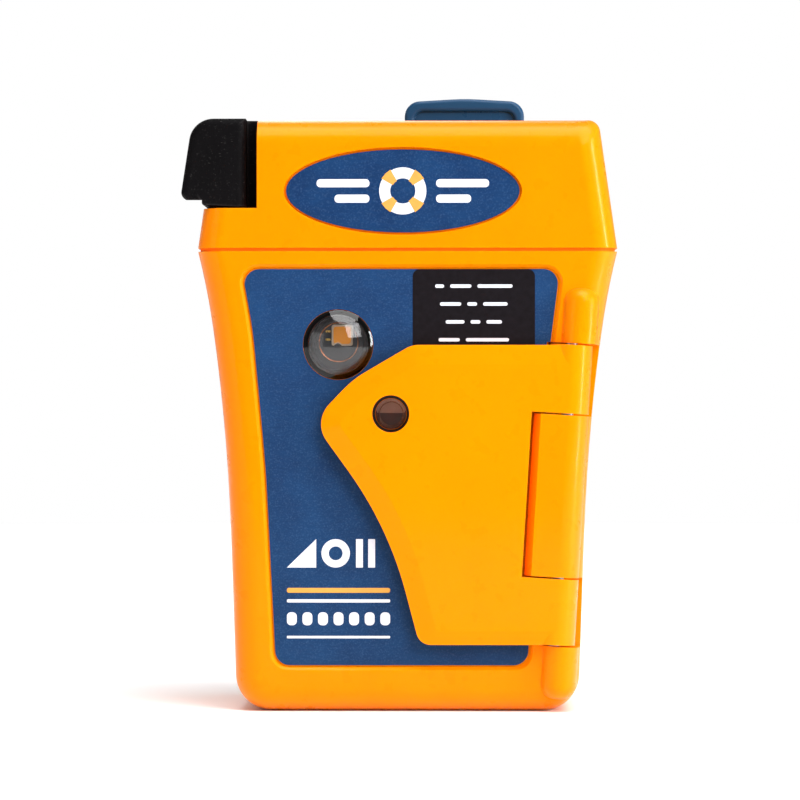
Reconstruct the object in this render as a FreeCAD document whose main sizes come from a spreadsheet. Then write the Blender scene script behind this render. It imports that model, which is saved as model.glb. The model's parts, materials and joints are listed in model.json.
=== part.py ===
import FreeCAD, Part
import math
import os

import Sketcher
from FreeCAD import Placement, Rotation, Vector

# A pocket-size emergency position beacon. Millimetres, +Z up, -Y is the front with the flap.
# The origin is the middle of the flat bottom face.

DIMENSIONS = [
    # case silhouette: half widths at the heights where its sides change slope
    ("case_foot_half", 21.1), ("case_waist_half", 22.28), ("case_waist_height", 34.5),
    ("case_flare_half", 24.7), ("case_flare_height", 51.8), ("case_top_half", 25.9),
    ("case_height", 56.6), ("case_corner", 4.5),
    ("case_front", 15.3), ("case_rear", 15.3), ("case_split", 5), ("case_edge_round", 3.2),
    ("case_wall", 2), ("hinge_rib_depth", 3.5), ("front_room_right", 13.2),
    ("case_gasket_inset", 0.6), ("case_gasket_width", 0.8), ("case_gasket_deep", 1),
    ("head_gasket_inset", 0.3), ("head_gasket_width", 2.5), ("head_gasket_corner", 2.8),
    # head
    ("head_bottom", 57), ("head_top", 72.85), ("head_top_half", 23.6), ("head_side_round", 3),
    ("head_brow_round", 3.4), ("head_top_round", 1.5), ("head_wall", 1.8),
    ("notch_wall", 18.5), ("notch_floor", 61.9), ("notch_skin", 1.4),
    ("badge_half_width", 14.35), ("badge_half_height", 5.1), ("badge_height", 64), ("badge_side", 0.55),
    ("badge_recess", 0.5), ("badge_thick", 0.3), ("badge_gap", 0.3),
    # label
    ("label_recess", 0.5), ("label_thick", 0.25), ("label_gap", 0.15), ("label_slope", 0.45),
    ("rear_label_left", 2.5), ("rear_label_right", 17.5), ("rear_label_bottom", 9), ("rear_label_top", 44),
    ("rear_label_recess", 0.4), ("rear_label_gap", 0.2),
    # flap and its hinge
    ("hinge_foot", 17.49), ("hinge_depth", 14.6), ("hinge_tilt", 3.45), ("knuckle_radius", 2.6),
    ("knuckle_room", 0.3), ("pin_radius", 0.75), ("pin_play", 0.05),
    ("lower_knuckle_bottom", 8.3), ("lower_knuckle_top", 16.4), ("upper_knuckle_bottom", 36.7),
    ("upper_knuckle_top", 45.15), ("knuckle_gap", 0.2), ("boss_bottom", 1.6), ("boss_top", 52.2),
    ("boss_radius", 2.25), ("boss_shift", 0.85), ("boss_round", 1.8),
    ("block_reach", 4.15), ("block_bevel_width", 0.9), ("block_bevel_drop", 1.4), ("block_gap", 0.3),
    ("pin_inset", 1.5), ("flap_lift", 0.2), ("flap_thick", 1.7),
    ("flap_top", 45.05), ("flap_bottom", 8.3), ("flap_bevel", 2.4), ("flap_bevel_drop", 0.4),
    # torsion springs
    ("flap_spring_radius", 1.75), ("flap_spring_wire", 0.22), ("flap_spring_pitch", 0.75),
    ("spring_turns", 4.5), ("spring_leg", 3.2), ("spring_pocket", 2.15), ("spring_play", 0.3),
    ("leg_room", 0.35),
    ("clip_spring_radius", 1.02), ("clip_spring_wire", 0.17), ("clip_spring_pitch", 0.42),
    # strobe and indicator
    ("strobe_side", 8.5), ("strobe_height", 45.1), ("strobe_radius", 4.28), ("strobe_dome", 1.5),
    ("strobe_led_side", 2.55), ("strobe_led_shift", 0.45), ("strobe_led_lift", 1.15),
    ("strobe_ring_radius", 2.36), ("strobe_ring_wire", 0.07), ("strobe_ring_lift", 0.33),
    ("indicator_side", 2), ("indicator_height", 36.6), ("flap_window", 2.28), ("indicator_radius", 1.9),
    # buttons
    ("on_side", 4.5), ("on_height", 29.5), ("on_radius", 4.4), ("test_side", 7.2),
    ("test_height", 15.6), ("test_radius", 3.1), ("button_play", 0.2), ("button_travel", 0.6),
    ("button_flange", 0.9), ("button_stem", 1.5), ("button_seal", 0.6), ("switch_height", 2.4),
    # electronics
    ("board_half", 16.4), ("board_front", 5.8), ("board_thick", 1), ("board_bottom", 8), ("board_top", 52),
    ("post_side", 14.5), ("post_radius", 1.8), ("post_low", 10.5), ("post_left_high", 50.5),
    ("post_right_high", 36), ("post_root", 0.2), ("board_screw", 0.8), ("patch_side", 15), ("patch_left", 0.7),
    ("patch_bottom", 37.9), ("patch_thick", 3.8), ("cell_radius", 8.5), ("cell_length", 34.5),
    ("cell_side", 8.9), ("cell_depth", 4.4), ("cell_bottom", 8.5),
    # case screws
    ("low_screw_side", 15.5), ("low_screw_height", 4.1), ("high_screw_side", 19.2),
    ("high_screw_height", 48.5), ("screw_boss", 2.4), ("screw_radius", 1), ("screw_head", 1.9),
    ("screw_head_deep", 1.9), ("screw_grip", 7), ("screw_play", 0.1),
    ("head_screw_side", 21.6), ("head_screw_depth", 7.6), ("head_screw_grip", 3),
    # antenna
    ("reel_side", 9), ("reel_height", 64), ("reel_hub", 2.4), ("coil_radius", 4.9), ("reel_flange", 5.9),
    ("tape_width", 6), ("tape_thick", 0.14), ("tape_side", 22), ("tape_bend", 3), ("tape_top", 69.5),
    ("guide_half", 4.5), ("feed_side", 12), ("feed_arm", 0.6), ("feed_sheet", 0.3),
    ("dial_radius", 5), ("dial_thick", 1.6), ("shaft_radius", 1.5), ("shaft_play", 0.05),
    ("cap_half_depth", 14.7), ("cap_right", 18.65), ("cap_head_left", 26.5), ("cap_foot_left", 28.05),
    ("cap_top", 73), ("cap_lip_height", 62.9), ("cap_lip_side", 25.2), ("cap_lip_rise", 3),
    ("cap_gap_side", 19.95), ("cap_edge_round", 0.9), ("cap_wall_right", 20.3),
    # belt clip
    ("clip_middle", 7.1), ("clip_half", 7.85), ("clip_top", 78), ("clip_bottom", 13),
    ("clip_pivot", 50), ("clip_screw_deep", 2.2), ("clip_screw_low", 41.8), ("clip_screw_high", 53.2),
    ("clip_pin_depth", 17.75), ("clip_plate_inner", 19.2), ("clip_plate_outer", 21),
    ("clip_base_thick", 0.9), ("clip_base_bottom", 39), ("clip_base_top", 55.6), ("clip_pin_radius", 0.7),
    ("clip_lug", 1.25), ("clip_round", 2), ("thumb_dish", 0.6), ("thumb_dish_foot", 69), ("thumb_rim", 1.25),
]

doc = FreeCAD.newDocument("position_beacon")
sheet = doc.addObject("Spreadsheet::Sheet", "Dims")
for row, (alias, number) in enumerate(DIMENSIONS, start=1):
    sheet.set("A%d" % row, alias)
    sheet.set("B%d" % row, str(number))
    sheet.setAlias("B%d" % row, alias)
doc.recompute()

parts = []


def size(alias):
    return float(sheet.get(alias))


def value_of(expression):
    """The number that a sheet expression gives now."""
    return float(sheet.evalExpression(str(expression)))


def finished(obj, label):
    """Name an object as a sub-part of the beacon."""
    obj.Label = label
    parts.append(obj)
    return obj


# ---- outlines and sketches ----

def rounded(points):
    """Lines and tangent arcs of a closed outline through (across, up, corner radius) points."""
    corners = []
    for index, (across, up, radius) in enumerate(points):
        here = Vector(across, up, 0)
        before = Vector(*points[index - 1][:2], 0)
        after = Vector(*points[(index + 1) % len(points)][:2], 0)
        back = (before - here).normalize()
        ahead = (after - here).normalize()
        if radius == 0:
            corners.append((here, here, here))
            continue
        half = back.getAngle(ahead) / 2
        reach = radius / math.tan(half)
        middle = (back + ahead).normalize() * (radius / math.sin(half) - radius)
        corners.append((here + back * reach, here + middle, here + ahead * reach))
    edges = []
    for index, (start, middle, end) in enumerate(corners):
        if start != end:
            edges.append(Part.Arc(start, middle, end))
        following = corners[(index + 1) % len(corners)][0]
        if end.distanceToPoint(following) > 1e-4:
            edges.append(Part.LineSegment(end, following))
    return edges


def mirrored(right_side):
    """A whole outline from its right-hand points, listed from the bottom up."""
    left_side = [(-across, up, radius) for across, up, radius in reversed(right_side)]
    return right_side + left_side


def new_body(name):
    return doc.addObject("PartDesign::Body", name)


def new_sketch(body, name, role, offset, edges):
    """A sketch on one of the body's origin planes, moved along the plane's normal."""
    sketch = body.newObject("Sketcher::SketchObject", name)
    plane = [item for item in body.Origin.OriginFeatures if item.Role == role][0]
    sketch.AttachmentSupport = (plane, [""])
    sketch.MapMode = "FlatFace"
    sketch.setExpression("AttachmentOffset.Base.z", str(offset))
    for edge in edges:
        sketch.addGeometry(edge)
    return sketch


def pad(body, sketch, length, backwards=False):
    feature = body.newObject("PartDesign::Pad", sketch.Name + "_pad")
    feature.Profile = sketch
    feature.setExpression("Length", str(length))
    feature.Reversed = backwards
    doc.recompute()
    return feature


def pocket(body, sketch, length, backwards=False):
    before = body.Shape.Volume
    feature = body.newObject("PartDesign::Pocket", sketch.Name + "_pocket")
    feature.Profile = sketch
    feature.setExpression("Length", str(length))
    feature.Reversed = backwards
    doc.recompute()
    if not body.Shape.Volume < before - 1e-3:
        raise RuntimeError(sketch.Name + " cuts nothing")
    return feature


def edges_where(shape, test):
    """Names of the edges whose two ends and middle all pass the test."""
    names = []
    for index, edge in enumerate(shape.Edges, start=1):
        ends = [vertex.Point for vertex in edge.Vertexes]
        span = edge.ParameterRange
        ends.append(edge.valueAt((span[0] + span[1]) / 2))
        if all(test(point) for point in ends):
            names.append("Edge%d" % index)
    return names


def fillet(body, edge_names, radius):
    base = body.Tip
    feature = body.newObject("PartDesign::Fillet", body.Name + "_fillet")
    feature.Base = (base, edge_names)
    feature.setExpression("Radius", str(radius))
    doc.recompute()
    return feature


def chamfer(body, edge_names, width, drop):
    """A bevel, wide on the face the edges border and dropping down the side."""
    base = body.Tip
    feature = body.newObject("PartDesign::Chamfer", body.Name + "_chamfer")
    feature.Base = (base, edge_names)
    feature.ChamferType = "Two distances"
    feature.setExpression("Size", str(width))
    feature.setExpression("Size2", str(drop))
    doc.recompute()
    return feature


def near(value, target):
    return abs(value - target) < 1e-3


# ---- primitives and booleans ----

TURNS = {"z": Rotation(), "y": Rotation(Vector(1, 0, 0), -90), "x": Rotation(Vector(0, 1, 0), 90)}


def move_to(obj, place):
    for axis, where in zip("xyz", place):
        obj.setExpression("Placement.Base." + axis, str(where))


def box(name, low, high):
    obj = doc.addObject("Part::Box", name)
    for side, start, stop in zip(("Length", "Width", "Height"), low, high):
        obj.setExpression(side, "(%s) - (%s)" % (stop, start))
    move_to(obj, low)
    return obj


def rod(name, radius, length, start, along="y"):
    obj = doc.addObject("Part::Cylinder", name)
    obj.setExpression("Radius", str(radius))
    obj.setExpression("Height", str(length))
    obj.Placement = Placement(Vector(), TURNS[along])
    move_to(obj, start)
    return obj


def fuse(name, pieces):
    obj = doc.addObject("Part::MultiFuse", name)
    obj.Shapes = pieces
    obj.Refine = True
    return obj


def group(name, pieces):
    """Separate identical solids kept together as one sub-part."""
    obj = doc.addObject("Part::Compound", name)
    obj.Links = pieces
    return obj


def cut(name, base, tools):
    obj = doc.addObject("Part::Cut", name)
    obj.Base = base
    obj.Tool = tools[0] if len(tools) == 1 else fuse(name + "_tools", tools)
    obj.Refine = True
    return obj


def turned_edges(name, edges, role="XY_Plane"):
    """A body whose half profile is turned about its plane's upright axis."""
    body = new_body(name)
    sketch = new_sketch(body, name + "_profile", role, 0, edges)
    feature = body.newObject("PartDesign::Revolution", name + "_turn")
    feature.Profile = sketch
    feature.ReferenceAxis = (sketch, ["V_Axis"])
    feature.Angle = 360
    doc.recompute()
    return body


def turned(name, points, place, along="y"):
    """A body turned about a line along Y (or Z) from (radius, depth, corner radius) points."""
    body = turned_edges(name, rounded(points))
    if along == "z":
        body.Placement = Placement(Vector(), Rotation(Vector(1, 0, 0), 90))
    move_to(body, place)
    doc.recompute()
    return body


# ---- the hinge's own frame: its z runs along the tilted pin ----

HINGE = Placement(Vector(size("hinge_foot"), -size("hinge_depth"), 0),
                  Rotation(Vector(0, 1, 0), size("hinge_tilt")))


def hinge_rod(name, radius, bottom, top):
    obj = doc.addObject("Part::Cylinder", name)
    obj.setExpression("Radius", str(radius))
    obj.setExpression("Height", "(%s) - (%s)" % (top, bottom))
    obj.Placement = HINGE * Placement(Vector(0, 0, value_of(bottom)), Rotation())
    return obj


def hinge_boss(name, bottom, top, low_round, high_round):
    """A barrel round the pin, set a little outwards, with its ends rounded over by the given radii."""
    radius = size("boss_radius")
    low, high = value_of(bottom), value_of(top)
    points = [(0, low, 0), (radius, low, low_round), (radius, high, high_round), (0, high, 0)]
    body = turned_edges(name, rounded(points), "XZ_Plane")
    body.Placement = HINGE * Placement(Vector(size("boss_shift"), 0, 0), Rotation())
    doc.recompute()
    return body


def hinge_box(name, low, high):
    obj = doc.addObject("Part::Box", name)
    for side, start, stop in zip(("Length", "Width", "Height"), low, high):
        obj.setExpression(side, "(%s) - (%s)" % (stop, start))
    obj.Placement = HINGE * Placement(Vector(*[value_of(start) for start in low]), Rotation())
    return obj


def spring_rise(name):
    return size(name + "_pitch") * size("spring_turns")


def flap_spring_foot():
    """Height, along the hinge, at which the flap spring's coil starts."""
    return size("lower_knuckle_top") - spring_rise("flap_spring") - size("spring_play")


def torsion_spring(name, place):
    """A coil about the place's z axis, with a leg at each end pointing along -x."""
    radius = size(name + "_radius")
    rise = spring_rise(name)
    helix = Part.makeHelix(size(name + "_pitch"), rise, radius)
    helix.rotate(Vector(), Vector(0, 0, 1), -90)
    leg = Vector(-size("spring_leg"), 0, 0)
    first = Vector(0, -radius, 0)
    last = Vector(0, radius, rise)
    path = [Part.makeLine(first + leg, first)] + helix.Edges + [Part.makeLine(last, last + leg)]
    section = Part.Circle(first + leg, Vector(1, 0, 0), size(name + "_wire"))
    feature = doc.addObject("Part::Feature", name)
    feature.Shape = Part.Wire(path).makePipeShell([Part.Wire(section.toShape())], True, True)
    feature.Placement = place
    return finished(feature, name)


# ---- case ----

def bend_radius(before, here, after, reach):
    """Radius of the arc that starts this far before a corner."""
    back = Vector(before[0] - here[0], before[1] - here[1], 0)
    ahead = Vector(after[0] - here[0], after[1] - here[1], 0)
    return reach * math.tan(back.getAngle(ahead) / 2)


def case_outline(inset, bottom, top):
    """The case's silhouette, drawn in by a wall thickness; its sides flare in two long arcs."""
    foot = (size("case_foot_half") - inset, bottom)
    waist = (size("case_waist_half") - inset, size("case_waist_height"))
    flare = (size("case_flare_half") - inset, size("case_flare_height"))
    brim = (size("case_top_half") - inset, top)
    flare_reach = math.dist(flare, brim)
    waist_reach = math.dist(waist, flare) - flare_reach
    waist_round = bend_radius(foot, waist, flare, waist_reach)
    flare_round = bend_radius(waist, flare, brim, flare_reach)
    corner = max(size("case_corner") - inset, 1)
    return rounded(mirrored([foot + (corner,), waist + (waist_round,), flare + (flare_round,), brim + (0,)]))


def label_outline(grow):
    """The front label's outline, whose sides follow the case's flare, made larger all round."""
    return rounded([
        (14.75 + grow, 5.7 - grow, 1.8), (17.5 + grow, 44.5, 60), (18.75 + grow, 54.4 + grow, 1.8),
        (-20.35 - grow, 54.4 + grow, 1.8), (-19 - grow, 47, 60), (-17.4 - grow, 30, 150),
        (-16.15 - grow, 5.7 - grow, 1.8)])


def screw_places():
    return [(side + "Dims.%s_screw_side" % level, "Dims.%s_screw_height" % level)
            for level in ("low", "high") for side in ("-", "")]


def board_screw_places():
    return [("-Dims.post_side", "Dims.post_low"), ("Dims.post_side", "Dims.post_low"),
            ("-Dims.post_side", "Dims.post_left_high"), ("Dims.post_side", "Dims.post_right_high")]


def head_screw_places():
    return [(side + "Dims.head_screw_side", depth + "Dims.head_screw_depth")
            for side in ("-", "") for depth in ("-", "")]


def clip_screw_places():
    return [("Dims.clip_middle", "Dims.clip_screw_low"), ("Dims.clip_middle", "Dims.clip_screw_high")]


def side_rim(body, depth):
    """The case's outline edges on its front or rear face, all but the one under the head."""
    shape = body.Tip.Shape
    top = size("case_height")
    rim = edges_where(shape, lambda point: near(point.y, depth))
    top_rim = edges_where(shape, lambda point: near(point.z, top))
    return [name for name in rim if name not in top_rim]


def front_case_shell():
    body = new_body("front_case_shell")
    outline = new_sketch(body, "front_outline", "XZ_Plane", "Dims.case_front",
                         case_outline(0, 0, size("case_height")))
    pad(body, outline, "Dims.case_front + Dims.case_split", backwards=True)
    front, top = -size("case_front"), size("case_height")
    fillet(body, side_rim(body, front), "Dims.case_edge_round")
    wall = size("case_wall")
    room = new_sketch(body, "front_room", "XZ_Plane", "-Dims.case_split",
                      case_outline(wall, wall, top - wall))
    pocket(body, room, "Dims.case_split + Dims.case_front - Dims.case_wall - Dims.hinge_rib_depth",
           backwards=True)
    right = size("front_room_right")
    left_low, left_high = size("case_foot_half") - wall, size("case_flare_half") - wall
    shallow = new_sketch(body, "shallow_room", "XZ_Plane",
                         "Dims.case_front - Dims.case_wall - Dims.hinge_rib_depth",
                         rounded([(right, wall + 1, 1), (right, top - wall, 1),
                                  (-left_high, top - wall, 2), (-left_low + 0.6, wall + 1, 2)]))
    pocket(body, shallow, "Dims.hinge_rib_depth", backwards=True)
    recess = new_sketch(body, "label_recess", "XZ_Plane", "Dims.case_front",
                        label_outline(size("label_gap")))
    pocket(body, recess, "Dims.label_recess")
    slope_edges = edges_where(body.Tip.Shape, lambda point: near(point.y, front)
                              and abs(point.x) < 20.8 and 5 < point.z < 55)
    chamfer(body, slope_edges, "Dims.label_slope", "Dims.label_slope")
    return body


def hinge_fixed_pieces():
    """Block and end bosses of the hinge that belong to the case."""
    gap = "Dims.knuckle_gap"
    low, high = "Dims.lower_knuckle_top + " + gap, "Dims.upper_knuckle_bottom - " + gap
    radius = "Dims.knuckle_radius"
    block = hinge_box("block_plate", ("-Dims.block_reach", "-" + radius, low), (0, "0.5", high))
    bevel = doc.addObject("Part::Wedge", "block_bevel")
    bottom, top = value_of(low), value_of(high)
    bevel.Xmin = bevel.X2min = -1
    bevel.Xmax, bevel.X2max = size("block_bevel_width"), 0
    bevel.Ymin, bevel.Ymax = -0.1, size("block_bevel_drop")
    bevel.Zmin = bevel.Z2min = 0
    bevel.Zmax = bevel.Z2max = top - bottom
    corner = Vector(-size("block_reach"), -size("knuckle_radius"), bottom)
    bevel.Placement = HINGE * Placement(corner, Rotation())
    block = cut("block_bevelled", block, [bevel])
    return [
        block,
        hinge_rod("block_barrel", radius, low, high),
        hinge_boss("upper_boss", "Dims.upper_knuckle_top + " + gap, "Dims.boss_top",
                   0, size("boss_round")),
        hinge_boss("lower_boss", "Dims.boss_bottom", "Dims.lower_knuckle_bottom - " + gap,
                   size("boss_round"), 0),
    ]


def knuckle_rooms():
    """Space that the flap's two knuckles turn in."""
    rooms = []
    room = "Dims.knuckle_radius + Dims.knuckle_room"
    gap = "Dims.knuckle_gap"
    for level in ("lower", "upper"):
        low = "Dims.%s_knuckle_bottom - %s" % (level, gap)
        high = "Dims.%s_knuckle_top + %s" % (level, gap)
        rooms.append(hinge_rod(level + "_room", room, low, high))
        rooms.append(hinge_box(level + "_room_side", (0, "-4", low), (8, room, high)))
    return rooms


def seam_ring(name):
    """The gasket's ring, and the groove that it lies in, just inside the case's seam."""
    inset = size("case_gasket_inset")
    outer = new_body(name + "_outer")
    outline = new_sketch(outer, name + "_outline", "XZ_Plane", "-Dims.case_split",
                         case_outline(inset, inset, size("case_height") - inset))
    pad(outer, outline, "Dims.case_gasket_deep")
    inset += size("case_gasket_width")
    inner = new_body(name + "_inner")
    core = new_sketch(inner, name + "_core", "XZ_Plane", "-Dims.case_split - 1",
                      case_outline(inset, inset, size("case_height") - inset))
    pad(inner, core, "Dims.case_gasket_deep + 2")
    return cut(name, outer, [inner])


def hinge_pin_rod(name):
    return hinge_rod(name, "Dims.pin_radius", "Dims.boss_bottom + Dims.pin_inset",
                     "Dims.boss_top - Dims.pin_inset")


def case_spring_leg_slot():
    """Slot in the hinge block for the flap spring's upper leg."""
    level = flap_spring_foot() + spring_rise("flap_spring")
    return hinge_box("case_leg_slot",
                     (-3.5, "Dims.flap_spring_radius - Dims.leg_room", "%s - Dims.leg_room" % level),
                     (0, "Dims.flap_spring_radius + Dims.leg_room", "%s + Dims.leg_room" % level))


def head_screw_holes(front):
    """Holes under the head for its front pair of screws, or its rear pair."""
    return [rod("head_screw_hole", "Dims.screw_radius + Dims.screw_play", "2 * Dims.case_wall",
                (x, y, "Dims.case_height - 1.5 * Dims.case_wall"), "z")
            for x, y in head_screw_places() if y.startswith("-") == front]


def front_openings():
    """Holes in the front wall for the buttons, their seals and the two windows."""
    through, start = "Dims.case_wall + 1", "-Dims.case_front - 0.5"
    holes = [rod("strobe_hole", "Dims.strobe_radius", through,
                 ("-Dims.strobe_side", start, "Dims.strobe_height")),
             rod("indicator_hole", "Dims.indicator_radius", through,
                 ("-Dims.indicator_side", start, "Dims.indicator_height"))]
    for which in ("on", "test"):
        side, height = "Dims.%s_side" % which, "Dims.%s_height" % which
        holes.append(rod(which + "_hole", "Dims.%s_radius + Dims.button_play" % which, through,
                         (side, start, height)))
        holes.append(rod(which + "_seal_groove", "Dims.%s_radius + Dims.button_flange" % which,
                         "Dims.button_seal", (side, "-Dims.case_front + Dims.button_flange", height)))
    return holes


def build_front_case():
    shell = front_case_shell()
    posts = [rod("post", "Dims.post_radius",
                 "Dims.case_front - Dims.case_wall - Dims.board_front + Dims.post_root",
                 (x, "Dims.case_wall - Dims.case_front - Dims.post_root", z)) for x, z in board_screw_places()]
    bosses = [rod("screw_boss", "Dims.screw_boss", "Dims.case_split + Dims.case_front - Dims.case_wall",
                  (x, "Dims.case_wall - Dims.case_front", z)) for x, z in screw_places()]
    solid = fuse("front_with_bosses", [shell] + hinge_fixed_pieces() + posts + bosses)
    holes = [hinge_pin_rod("pin_hole"), case_spring_leg_slot(), seam_ring("gasket_groove")]
    holes += knuckle_rooms() + front_openings() + head_screw_holes(front=True)
    holes += [rod("thread", "Dims.screw_radius", "Dims.screw_grip + 0.5",
                  (x, "Dims.case_split - Dims.screw_grip - 0.5", z)) for x, z in screw_places()]
    holes += [rod("post_hole", "Dims.board_screw", 4, (x, "-4 - Dims.board_front", z))
              for x, z in board_screw_places()]
    feed_place = ("-Dims.feed_side", "0.5 - Dims.board_front", "Dims.case_height - 1.5 * Dims.case_wall")
    holes.append(rod("feed_hole", 1, "2 * Dims.case_wall", feed_place, "z"))
    return finished(cut("front_case", solid, holes), "front_case")


def build_rear_case():
    body = new_body("rear_case_shell")
    outline = new_sketch(body, "rear_outline", "XZ_Plane", "-Dims.case_rear",
                         case_outline(0, 0, size("case_height")))
    pad(body, outline, "Dims.case_rear - Dims.case_split")
    fillet(body, side_rim(body, size("case_rear")), "Dims.case_edge_round")
    wall = size("case_wall")
    room = new_sketch(body, "rear_room", "XZ_Plane", "-Dims.case_split",
                      case_outline(wall, wall, size("case_height") - wall))
    pocket(body, room, "Dims.case_rear - Dims.case_split - Dims.case_wall")
    recess = new_sketch(body, "rear_label_recess", "XZ_Plane", "-Dims.case_rear",
                        rear_label_outline(size("rear_label_gap")))
    pocket(body, recess, "Dims.rear_label_recess", backwards=True)
    bosses = [rod("rear_screw_boss", "Dims.screw_boss", "Dims.case_rear - Dims.case_split - 1",
                  (x, "Dims.case_split", z)) for x, z in screw_places()]
    pads = [rod("clip_screw_pad", 2.2, 0.7, (x, "Dims.case_rear - Dims.clip_screw_deep - 0.2", z))
            for x, z in clip_screw_places()]
    solid = fuse("rear_with_bosses", [body] + bosses + pads)
    holes = head_screw_holes(front=False)
    for x, z in screw_places():
        holes.append(rod("rear_screw_hole", "Dims.screw_radius + Dims.screw_play", 12,
                         (x, "Dims.case_split - 0.5", z)))
        holes.append(rod("rear_counterbore", "Dims.screw_head + 0.2", "Dims.screw_head_deep + 1",
                         (x, "Dims.case_rear - Dims.screw_head_deep", z)))
    holes += [rod("clip_screw_hole", 0.8, "Dims.clip_screw_deep + 0.5",
                  (x, "Dims.case_rear - Dims.clip_screw_deep", z)) for x, z in clip_screw_places()]
    return finished(cut("rear_case", solid, holes), "rear_case")


def build_case_gasket():
    return finished(seam_ring("case_gasket"), "case_gasket")


def screw_points(head, shank, head_deep, length):
    """Half profile of a cap screw with a round socket, its head's underside at depth 0."""
    return [(0, -length, 0), (shank, -length, 0), (shank, 0, 0), (head, 0, 0), (head, head_deep, 0),
            (head * 0.45, head_deep, 0), (head * 0.45, head_deep * 0.45, 0), (0, head_deep * 0.45, 0)]


def build_case_screws():
    grip = size("case_rear") - size("screw_head_deep") - size("case_split") + size("screw_grip")
    points = screw_points(size("screw_head"), size("screw_radius"), size("screw_head_deep") - 0.3, grip)
    screws = [turned("case_screw", points, (x, "Dims.case_rear - Dims.screw_head_deep", z))
              for x, z in screw_places()]
    return finished(group("case_screws", screws), "case_screws")


# ---- head ----

def build_head_cover():
    body = new_body("head_block")
    low, high = size("head_bottom"), size("head_top")
    half, top_half = size("case_top_half"), size("head_top_half")
    outline = new_sketch(body, "head_outline", "XZ_Plane", "Dims.case_front",
                         rounded(mirrored([(half, low, 0), (top_half, high, 0)])))
    pad(body, outline, "Dims.case_front + Dims.case_rear", backwards=True)

    def is_at_side(point):
        return near(abs(point.y), size("case_front")) and abs(point.x) > top_half - 0.1
    upright = [name for name in edges_where(body.Tip.Shape, is_at_side)
               if body.Tip.Shape.getElement(name).BoundBox.ZLength > 5]
    fillet(body, upright, "Dims.head_side_round")
    rounded_head = doc.addObject("Part::Fillet", "head_brow")
    rounded_head.Base = body
    brow, plain = size("head_brow_round"), size("head_top_round")
    choices = []
    for index, edge in enumerate(body.Shape.Edges, start=1):
        if not near(edge.BoundBox.ZMin, high):
            continue
        ends = [edge.valueAt(edge.FirstParameter), edge.valueAt(edge.LastParameter)]
        radii = [brow if near(end.y, -size("case_front")) else plain for end in ends]
        choices.append((index, radii[0], radii[1]))
    rounded_head.Edges = choices
    doc.recompute()

    skin = size("head_wall")
    room = new_body("head_room")
    inner_low = size("notch_floor") - size("notch_skin")
    inner_side = size("notch_wall") - size("notch_skin")
    sketch = new_sketch(room, "head_room_outline", "XZ_Plane", "Dims.case_front - Dims.head_wall",
                        rounded([(half - skin, low - 1, 0), (top_half - skin - 0.2, high - skin, 2),
                                 (-inner_side, high - skin, 1), (-inner_side, inner_low, 0),
                                 (-half + skin + 0.3, inner_low, 1), (-half + skin, low - 1, 0)]))
    pad(room, sketch, "Dims.case_front + Dims.case_rear - 2 * Dims.head_wall", backwards=True)
    depth = size("case_front") - skin
    upright = [name for name in edges_where(room.Tip.Shape, lambda point: near(abs(point.y), depth))
               if room.Tip.Shape.getElement(name).BoundBox.ZLength > 12
               and abs(room.Tip.Shape.getElement(name).CenterOfMass.x) > 20]
    fillet(room, upright, "Dims.head_side_round - 1")

    notch = box("antenna_notch", (-40, -30, "Dims.notch_floor"), ("-Dims.notch_wall", 30, 90))
    slot = box("tape_slot", ("-Dims.tape_side - 0.5", "-Dims.tape_width / 2 - 0.4", 58),
               ("-Dims.tape_side + 0.5", "Dims.tape_width / 2 + 0.4", 66))
    hollow = cut("head_hollow", rounded_head, [room, notch, slot])
    bosses = [rod("head_boss", 2.3, "Dims.head_screw_grip + 0.6", (x, y, "Dims.head_bottom"), "z")
              for x, y in head_screw_places()]
    bearing = rod("reel_bearing", 2.6, 8, ("-Dims.reel_side", "-Dims.case_front + 1", "Dims.reel_height"))
    inside = doc.addObject("Part::MultiCommon", "bosses_inside")
    limit = box("boss_limit", ("1.6 - Dims.case_top_half", "1.3 - Dims.case_front", "Dims.head_bottom"),
                ("Dims.case_top_half - 1.6", "Dims.case_rear - 1.3", "Dims.head_bottom + 4"))
    inside.Shapes = [fuse("head_bosses", bosses), limit]
    solid = fuse("head_with_bosses", [hollow, inside, bearing])
    badge = new_body("badge_recess_cut")
    recess = new_sketch(badge, "badge_recess_outline", "XZ_Plane", "Dims.case_front",
                        badge_edges(size("badge_gap")))
    pad(badge, recess, 2)
    badge.setExpression("Placement.Base.y", "Dims.badge_recess")
    cuts = [badge,
            rod("bearing_hole", 1.25, 3, ("-Dims.reel_side", "-9.3", "Dims.reel_height")),
            rod("shaft_hole", "Dims.shaft_radius + Dims.shaft_play", 6,
                ("-Dims.reel_side", "Dims.case_rear - 4", "Dims.reel_height")),
            rod("dial_seal_seat", "Dims.shaft_radius + 1", 1,
                ("-Dims.reel_side", "Dims.case_rear - 1", "Dims.reel_height"))]
    cuts += [rod("head_thread", "Dims.screw_radius", "Dims.head_screw_grip",
                 (x, y, "Dims.head_bottom"), "z") for x, y in head_screw_places()]
    return finished(cut("head_cover", solid, cuts), "head_cover")


def badge_edges(grow):
    middle = Vector(-size("badge_side"), size("badge_height"), 0)
    half_width, half_height = size("badge_half_width") + grow, size("badge_half_height") + grow
    return [Part.Ellipse(middle + Vector(half_width, 0, 0), middle + Vector(0, half_height, 0), middle)]


def build_head_badge():
    body = new_body("head_badge_body")
    sketch = new_sketch(body, "badge_outline", "XZ_Plane", "Dims.case_front - Dims.badge_recess",
                        badge_edges(0))
    pad(body, sketch, "Dims.badge_thick")
    return finished(body, "head_badge")


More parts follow.
